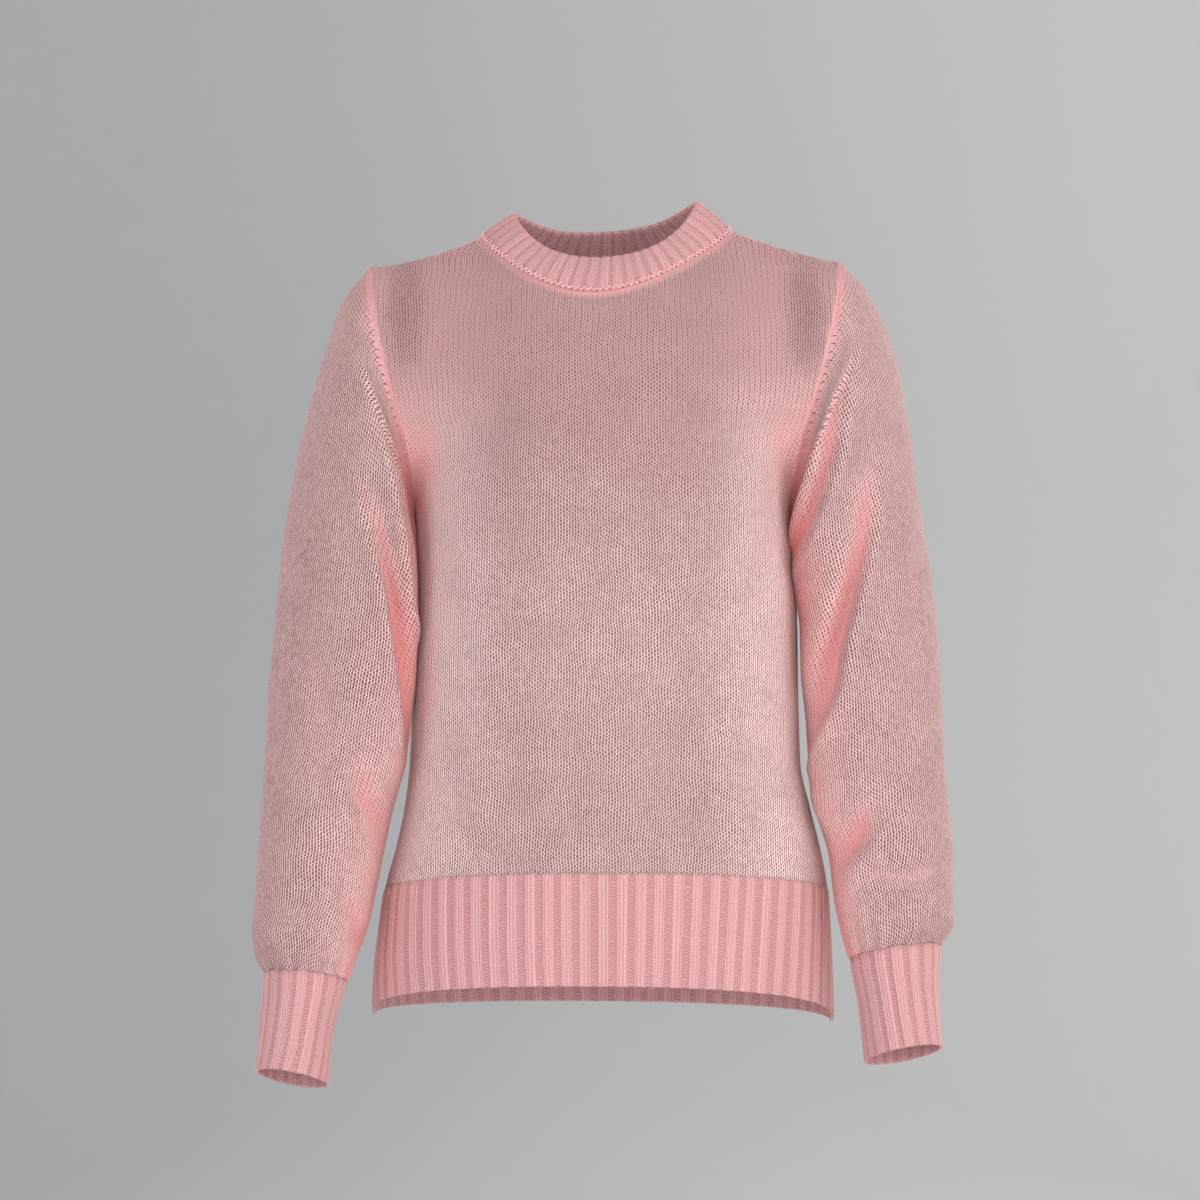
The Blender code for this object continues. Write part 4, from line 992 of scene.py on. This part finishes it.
class Tree:
    """Short names for a material's nodes."""

    def __init__(self, name, **uniform):
        self.material = bpy.data.materials.new(name)
        self.material.use_nodes = True
        self.nodes = self.material.node_tree.nodes
        self.links = self.material.node_tree.links
        self.shader = self.nodes["Principled BSDF"]
        for socket, value in uniform.items():
            self.shader.inputs[socket].default_value = value

    def put(self, kind, **settings):
        node = self.nodes.new(kind)
        for key, value in settings.items():
            setattr(node, key, value)
        return node

    def set(self, socket, value):
        value = value.socket if isinstance(value, Value) else value
        if isinstance(value, bpy.types.NodeSocket):
            self.links.new(value, socket)
        else:
            socket.default_value = value

    def worked(self, kind, values, output=0, **settings):
        """One output of a node whose first inputs are set to the values."""
        node = self.put(kind, **settings)
        for socket, value in zip(node.inputs, values):
            self.set(socket, value)
        return node.outputs[output]

    def math(self, operation, *values):
        return Value(self, self.worked("ShaderNodeMath", values, operation=operation))

    def wave(self, operation, value):
        """A sine or cosine of a value counted in whole turns."""
        return self.math(operation, value * (2 * math.pi))

    def step(self, value, low, high, to_low=0.0, to_high=1.0):
        """A smooth step of a value between two limits."""
        return Value(self, self.worked("ShaderNodeMapRange", (value, low, high, to_low, to_high),
                                       interpolation_type="SMOOTHSTEP"))

    def mix(self, share, a, b):
        node = self.put("ShaderNodeMix", data_type="RGBA")
        for key, value in (("Factor", share), ("A", a), ("B", b)):
            self.set(node.inputs[key], (*value, 1) if isinstance(value, tuple) else value)
        return node.outputs["Result"]

    def split(self, vector):
        node = self.put("ShaderNodeSeparateXYZ")
        self.set(node.inputs[0], vector)
        return [Value(self, output) for output in node.outputs]

    def noise(self, vector, scale, detail=0.0):
        """The noise node's outputs: Fac is one number, and Color holds three."""
        node = self.put("ShaderNodeTexNoise")
        for key, value in (("Vector", vector), ("Scale", scale), ("Detail", detail)):
            self.set(node.inputs[key], value)
        return node.outputs

    def mark(self, name):
        return Value(self, self.put("ShaderNodeAttribute", attribute_name=name).outputs["Fac"])

    def bump(self, height, distance):
        node = self.put("ShaderNodeBump")
        for key, value in (("Height", height), ("Distance", distance), ("Strength", 1.0)):
            self.set(node.inputs[key], value)
        self.set(self.shader.inputs["Normal"], node.outputs[0])


# Matt wool with a faint nap.
WOOL = {"Roughness": 0.85, "Sheen Weight": 0.45, "Sheen Roughness": 0.45,
        "Sheen Tint": (1.0, 0.58, 0.56, 1.0), "Specular IOR Level": 0.15}

STRAND = (0.990, 0.800, 0.780)
# painted shade: the nap in the eyelets and the strands' edges, darkened as the dark inside seen through
# the holes
EYELET_PAINTED_SHADE = (0.480, 0.265, 0.260)
CLOSE_PINK = (0.850, 0.485, 0.475)
# painted shade: the dark inside seen through sheer cloth, and the shade in the sleeves' creases
SHEER_PAINTED_SHADE = (0.600, 0.350, 0.345)
# painted red glow, standing in for light through the cloth in shaded creases and underarms
PAINTED_GLOW_RED = (0.800, 0.200, 0.190)
SEAM_PINK = (0.650, 0.310, 0.315)
# rib colours: the deep end takes the grooves' painted shade, the pale end the lip's painted highlight
RIB_PALE = (0.760, 0.460, 0.460)
RIB_DEEP = (0.530, 0.185, 0.195)
# painted shade of every shell's inner wall
INSIDE_SHADE = (0.300, 0.110, 0.110)
LOOP_PINK = (0.880, 0.540, 0.540)
ARMHOLE_DEEP = (0.500, 0.240, 0.240)
ARMHOLE_PALE = (0.600, 0.330, 0.330)

EYELET_WIDE = 0.145             # half an eyelet, in wales and courses
EYELET_HIGH = 0.370
EYELET_SPREAD = 0.28            # spread of the eyelets' sizes, and how far the knit's own varies
OPEN_SPREAD = 0.14
SLOW, QUICK = 0.11, 0.75        # how often the columns and rows stray, in stitches
SLOW_STRAY = (1.1, 1.4)         # and how far
QUICK_STRAY = (0.22, 0.34)
LEAST_EYELET = 0.05
SECOND_DICE = 20                # moves the dice of the eyelets between the first ones
SEAM_CLOSES = 0.90
CALM_CLOSES = 0.30              # the eyelets between the first ones, in a closer knit
RIB_SLANT = 3.2                 # courses that a groove loop slants over one repeat
RIB_COLUMN = 0.77               # one knitted column of a raised band, in quarter repeats
SHEER = 0.18                    # how much the thinnest cloth lets through between eyelets
HAZE = 0.38                     # share of an eyelet that the yarn's nap fills
LEAST_HAZE = 0.08
RELIEF = 0.0007
LOOP_RELIEF = 0.0003
LOOP_FLECKS = (900.0, 2.0)      # scale and detail of the loops' flecks
LOOP_LIMITS = (0.3, 0.7)

# Limits between which each thing changes: by openness, by distance from an eyelet's
# middle, and by the columns' lines and the quick noise.
LIMITS = {"calm": (1.02, 0.70), "close": (0.96, 0.60), "haze": (1.0, 1.5),
          "hole": (0.4, 1.3), "strand": (0.3, 2.3), "round": (0.5, 3.6),
          "lines": (-0.7, 0.9), "fleck": (0.40, 0.70)}
LINES = {"half": 0.60, "whole": 0.15, "calm": 0.45, "height": 0.12}
# How much of each layer's colour is mixed in; the sheer mark's, the glow's and the inner wall's are
# painted shade and painted glow.
SHARES = {"lines": 0.75, "sheer_and_shade": 0.85, "fleck": 0.12, "seam": 0.80, "painted_glow": 0.85,
          "inside": 0.75}

# The rib: scales of its noises, how far they move the band's edge, the columns and the
# courses, its limits, the waves of its stitches, and how light each part is painted: the
# groove darker, its own deeper tone with painted shade of the recess, and the lip lighter,
# a painted highlight.
RIB_QUICK, RIB_FLECK = 0.6, 1.7
RIB_STRAY = {"edge": 0.030, "column": 0.12, "course": 0.50}
RIB_LIMITS = {"groove": (-0.012, 0.020), "lip": (0.055, 0.010), "lit": (-0.1, 1.1)}
RIB_WAVES = {"column": 0.45, "loop": 0.15, "bend": 0.25, "groove": 0.60, "lip": 0.80}
RIB_LIGHT = {"band": 0.58, "groove": 0.13, "pattern": 0.27, "lip": 0.34, "fleck": 0.36}
RIB_LIT_AT = -0.045             # place of the painted highlight line along a band's edge


def plain_knit(name):
    """A net of strands with open eyelets, staggered from one column to the next."""
    t = Tree(name, **WOOL)
    stitch = t.put("ShaderNodeUVMap", uv_map="stitch").outputs[0]
    u, v, _ = t.split(stitch)
    slow, quick = (t.split(t.noise(stitch, scale)["Color"]) for scale in (SLOW, QUICK))
    u, v = (value + ((slow[k] - 0.5) * SLOW_STRAY[k] + (quick[k] - 0.5) * QUICK_STRAY[k])
            for k, value in enumerate((u, v)))
    dense = t.mark("seam")
    opened = t.mark("open") * (1.0 - dense * SEAM_CLOSES)
    opened = opened * (slow[2] * OPEN_SPREAD + (1 - OPEN_SPREAD / 2))
    calm = t.step(opened, *LIMITS["calm"])
    gaps = []
    for second, shift in enumerate((0.0, 0.5)):
        a, b = u + shift, v + shift
        wale, course = t.math("ROUND", a), t.math("ROUND", b)
        cell = t.worked("ShaderNodeCombineXYZ", (wale + SECOND_DICE * second, course))
        dice = Value(t, t.worked("ShaderNodeTexWhiteNoise", (cell,), "Value", noise_dimensions="2D"))
        size = opened * (dice * EYELET_SPREAD + (1 - EYELET_SPREAD / 2))
        size = t.math("MAXIMUM", size, LEAST_EYELET)
        if second:
            size = size * (1.0 - calm * CALM_CLOSES)
        x, y = (a - wale) / (size * EYELET_WIDE), (b - course) / (size * EYELET_HIGH)
        gaps.append(x * x + y * y)
    gap = t.math("MINIMUM", *gaps)
    sheer_and_shade = t.mark("sheer_and_shade") * (1.0 - dense)
    haze = t.step(opened, *LIMITS["haze"], HAZE, LEAST_HAZE)
    t.set(t.shader.inputs["Alpha"], (1.0 - sheer_and_shade * SHEER) * t.step(gap, *LIMITS["hole"], haze, 1.0))
    lines = (t.wave("COSINE", u * 2) * LINES["half"]
             + t.wave("COSINE", u) * (calm * LINES["calm"] + LINES["whole"]))
    colour = t.mix(t.step(opened, *LIMITS["close"]), STRAND, CLOSE_PINK)
    colour = t.mix(t.step(lines, *LIMITS["lines"], 0.0, SHARES["lines"]), colour, CLOSE_PINK)
    # Painted shade where the cloth is sheer and in the sleeves' creases.
    colour = t.mix(sheer_and_shade * SHARES["sheer_and_shade"], colour, SHEER_PAINTED_SHADE)
    # Painted shade: the eyelets and the strand edges round them darken towards the dark inside seen
    # through.
    colour = t.mix(t.step(gap, *LIMITS["strand"]), EYELET_PAINTED_SHADE, colour)
    # The flecks are the yarn's own tone and the seams close to a deeper pink; the glow layer is a
    # painted red glow and the inner wall a painted shade.
    for layer, share, tint in (("fleck", t.step(quick[2], *LIMITS["fleck"]), SEAM_PINK),
                               ("seam", dense, SEAM_PINK), ("painted_glow", t.mark("painted_glow"), PAINTED_GLOW_RED),
                               ("inside", t.mark("inside"), INSIDE_SHADE)):
        colour = t.mix(share * SHARES[layer], colour, tint)
    t.set(t.shader.inputs["Base Color"], colour)
    t.bump(t.step(gap, *LIMITS["round"]) - lines * LINES["height"], RELIEF)
    return t.material


def rib_knit(name):
    """Dense rib: upright columns on the raised bands, slanted loops in the grooves."""
    t = Tree(name, **WOOL)
    stitch = t.put("ShaderNodeUVMap", uv_map="stitch").outputs[0]
    u, v, _ = t.split(stitch)
    quick, fleck = (t.split(t.noise(stitch, scale)["Color"]) for scale in (RIB_QUICK, RIB_FLECK))
    edge = t.mark("edge") + (quick[0] - 0.5) * RIB_STRAY["edge"]
    u = u + (quick[0] - 0.5) * RIB_STRAY["column"]
    v = v + (quick[1] - 0.5) * RIB_STRAY["course"]
    groove = t.step(edge, *RIB_LIMITS["groove"])
    lip = t.step(t.math("ABSOLUTE", edge - RIB_LIT_AT), *RIB_LIMITS["lip"])
    zigzag = t.wave("SINE", v - edge * RIB_SLANT)
    upright = t.math("COSINE", u * (2 * math.pi / RIB_COLUMN))
    loop = t.wave("SINE", v + upright * RIB_WAVES["bend"])
    pattern = ((upright * RIB_WAVES["column"] + loop * RIB_WAVES["loop"]) * (1.0 - groove)
               + zigzag * (groove * RIB_WAVES["groove"]))
    # Painted shade in the grooves and a painted highlight on the lip, over the stitches' own pattern
    # and flecks.
    lit = ((RIB_LIGHT["band"] - groove * RIB_LIGHT["groove"]) + pattern * RIB_LIGHT["pattern"]
           + lip * RIB_LIGHT["lip"] + (fleck[0] - 0.5) * RIB_LIGHT["fleck"])
    t.set(t.shader.inputs["Base Color"], t.mix(t.step(lit, *RIB_LIMITS["lit"]), RIB_DEEP, RIB_PALE))
    t.bump(pattern + lip * RIB_WAVES["lip"], RELIEF)
    return t.material


def loop_yarn(name, deep, pale):
    """The yarn of the loops that link two pieces."""
    t = Tree(name, **WOOL)
    place = t.put("ShaderNodeTexCoord").outputs["Object"]
    fleck = Value(t, t.noise(place, *LOOP_FLECKS)["Fac"])
    t.set(t.shader.inputs["Base Color"], t.mix(t.step(fleck, *LOOP_LIMITS), deep, pale))
    t.bump(fleck, LOOP_RELIEF)
    return t.material


# ---- the garment
body_knit = plain_knit("body_knit")
dense_rib = rib_knit("rib_knit")
loops = loop_yarn("seam_yarn", SEAM_PINK, LOOP_PINK)
armhole_loops = loop_yarn("armhole_yarn", ARMHOLE_DEEP, ARMHOLE_PALE)


def dress(ob, material, node=None):
    ob.data.materials.append(material)
    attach(ob, "root")
    if node:
        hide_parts(node)
    return ob


panels = {face: dress(make_panel(face), body_knit, f"{face}_panel") for face in FACES}
hems = {face: dress(make_hem(face), dense_rib, f"{face}_hem_rib") for face in FACES}
sleeves = {name: dress(make_sleeve(name), body_knit, f"sleeve_{name}")
           for name in SIDES}
cuffs = {name: dress(make_cuff(name), dense_rib, f"cuff_{name}") for name in SIDES}
collar = dress(make_collar(), dense_rib, "neck_rib")

# Rows of loops: pitch, spread and thickness of the strands.
ARMHOLE_LOOPS = (0.0036, 0.0016, 0.0013)
NECK_LOOPS = (0.0046, 0.0048, 0.0015)
SEAM_LOOPS = {"shoulder": (0.0030, 0.0014, 0.0016), "side": (0.0030, 0.0012, 0.0014),
              "sleeve": (0.0030, 0.0012, 0.0014)}
ARMHOLE_HALF_SIZE = (0.057, 0.093)      # front to back, and in height
ARMHOLE_OUTWARD = 6                     # how far its loops face out to the side
NECK_LOOP_RISE, NECK_LOOP_LIFT = 0.0012, 0.0020
NECK_LOOP_FACE = 0.9                    # how far its loops face up
LINE_POINTS = {"armhole": 360, "neck": 720, "shoulder": 60, "side": 120, "sleeve": 160}
FROM_SEAM, TO_EDGE = 0.005, 1.98        # ends of the seams that run down to a free edge

for name, side in SIDES.items():
    ring = sleeve_point(name, 0.0, around(LINE_POINTS["armhole"]))
    away = ring - np.array([0, 0, ring[:, 2].mean()])
    deep, high = ARMHOLE_HALF_SIZE
    out = away * (0, 1 / deep**2, 1 / high**2) + np.array([side * ARMHOLE_OUTWARD, 0, 0])
    dress(link_row(f"{name}_armhole_seam", ring, unit(out), *ARMHOLE_LOOPS, closed=True),
          armhole_loops)
points, sine, cosine = neck_ring(around(LINE_POINTS["neck"]))
out = unit(np.stack([sine, -cosine, NECK_LOOP_FACE + 0 * sine], axis=-1))
dress(link_row("neck_seam", points + np.array([0, 0, NECK_LOOP_RISE]), out, *NECK_LOOPS,
               closed=True, lift=NECK_LOOP_LIFT, upright=True), loops)
for name, side in SIDES.items():
    across = side * np.linspace(NECK_SHARE, 1.0, LINE_POINTS["shoulder"])
    up = np.linspace(-TO_EDGE, -FROM_SEAM, LINE_POINTS["side"])
    down = np.linspace(FROM_SEAM, TO_EDGE, LINE_POINTS["sleeve"])
    under = sleeve_point(name, down, math.pi)
    lines = {"shoulder": (torso_point("back", across, 1.0), (0, 0, 1)),
             "side": (torso_point("front", side, up), (side, 0, 0)),
             "sleeve": (under, unit(under - sleeve_point(name, down, 0.0)))}
    for seam, (line, out) in lines.items():
        dress(link_row(f"{name}_{seam}_seam", line, np.broadcast_to(out, line.shape),
                       *SEAM_LOOPS[seam]), loops)

# ---- studio: the floor turns up into a round wall in one smooth cove
STUDIO_RADIUS = 3.9
STUDIO_COVE = 1.3
FLOOR_RADII = (0.02, 0.8, 1.7)
FLOOR_Z = -1.30
STUDIO_TOP = 3.2
STUDIO_SIDES = 128
COVE_ROWS = 25
WALL_SHADED_PAINT = (0.455, 0.458, 0.476)       # painted shade, on the wearer's right
WALL_LIT_PAINT = (0.600, 0.597, 0.585)
WALL_LIMITS = (-1.2, 1.1)


def studio_surface():
    bend = np.linspace(0, math.pi / 2, COVE_ROWS)
    cove = STUDIO_RADIUS - STUDIO_COVE + STUDIO_COVE * np.sin(bend)
    radii = np.concatenate([FLOOR_RADII, cove, [STUDIO_RADIUS]])[:, None]
    heights = np.concatenate([np.zeros(len(FLOOR_RADII)), STUDIO_COVE * (1 - np.cos(bend)),
                              [STUDIO_TOP]])
    turns = around(STUDIO_SIDES)
    verts = np.stack([radii * np.cos(turns), radii * np.sin(turns),
                      np.broadcast_to(heights[:, None] + FLOOR_Z, (len(radii), STUDIO_SIDES))], axis=-1)
    corners, _ = quads(len(radii), STUDIO_SIDES, True)
    middle = list(range(STUDIO_SIDES))[::-1]
    return new_object("studio", verts.reshape(-1, 3), corners.tolist() + [middle])


def studio_paint():
    t = Tree("studio_paint", **{"Roughness": 0.95, "Specular IOR Level": 0.0})
    x, _, _ = t.split(t.put("ShaderNodeTexCoord").outputs["Object"])
    # Painted light across the wall: shaded on the wearer's right, lit on the left.
    t.set(t.shader.inputs["Base Color"], t.mix(t.step(x, *WALL_LIMITS), WALL_SHADED_PAINT, WALL_LIT_PAINT))
    return t.material


studio = studio_surface()
studio.data.materials.append(studio_paint())
studio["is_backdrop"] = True

LIGHTS = {
    # place, target, width and height, power
    "key": ((2.4, -1.8, 0.5), (0, 0, -0.3), (1.8, 2.0), 46.0),
    "fill": ((-2.2, -2.0, 0.0), (0, 0, -0.3), (1.8, 2.0), 28.0),
    "front": ((0.2, -3.3, 0.0), (0, 0, -0.3), (1.8, 1.8), 42.0),
    "low": ((0.2, -2.3, -1.0), (0, 0, -0.35), (2.0, 0.5), 5.0),
    "left_rim": ((1.7, 1.9, 0.2), (0, 0, -0.3), (0.8, 1.3), 32.0),
    "right_rim": ((-1.7, 1.9, 0.2), (0, 0, -0.3), (0.8, 1.3), 30.0),
    "top": ((0.2, 0.3, 2.2), (0, 0, -0.3), (2.2, 2.2), 7.4),
    "back_wall": ((0.6, 1.4, 1.9), (0.4, 3.9, -0.3), (2.6, 0.8), 14.8),
}
SKY = (0.90, 0.91, 0.93, 1)
SKY_STRENGTH = 0.55

for name, (place, target, size, power) in LIGHTS.items():
    data = bpy.data.lights.new(name, "AREA")
    data.shape = "RECTANGLE"
    data.size, data.size_y = size
    data.energy = power
    ob = bpy.data.objects.new(name, data)
    ob.location = place
    ob.rotation_euler = (Vector(target) - Vector(place)).to_track_quat("-Z", "Y").to_euler()
    ob.visible_camera = False
    bpy.context.scene.collection.objects.link(ob)

world = bpy.data.worlds.new("studio_light")
world.use_nodes = True
sky = world.node_tree.nodes["Background"]
sky.inputs["Color"].default_value = SKY
sky.inputs["Strength"].default_value = SKY_STRENGTH
bpy.context.scene.world = world
bpy.context.scene.view_settings.view_transform = "Standard"

# ---- camera: level, straight in front, through a long lens
CAMERA_PLACE = (-0.0023, -2.8, -0.266)
CAMERA_LENS = 110.5
CAMERA_SENSOR = 36.0

camera_data = bpy.data.cameras.new("camera")
camera_data.sensor_width = CAMERA_SENSOR
camera_data.lens = CAMERA_LENS
camera = bpy.data.objects.new("camera", camera_data)
camera.location = CAMERA_PLACE
camera.rotation_euler = (math.pi / 2, 0.0, 0.0)
bpy.context.scene.collection.objects.link(camera)
bpy.context.scene.camera = camera

low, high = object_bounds()
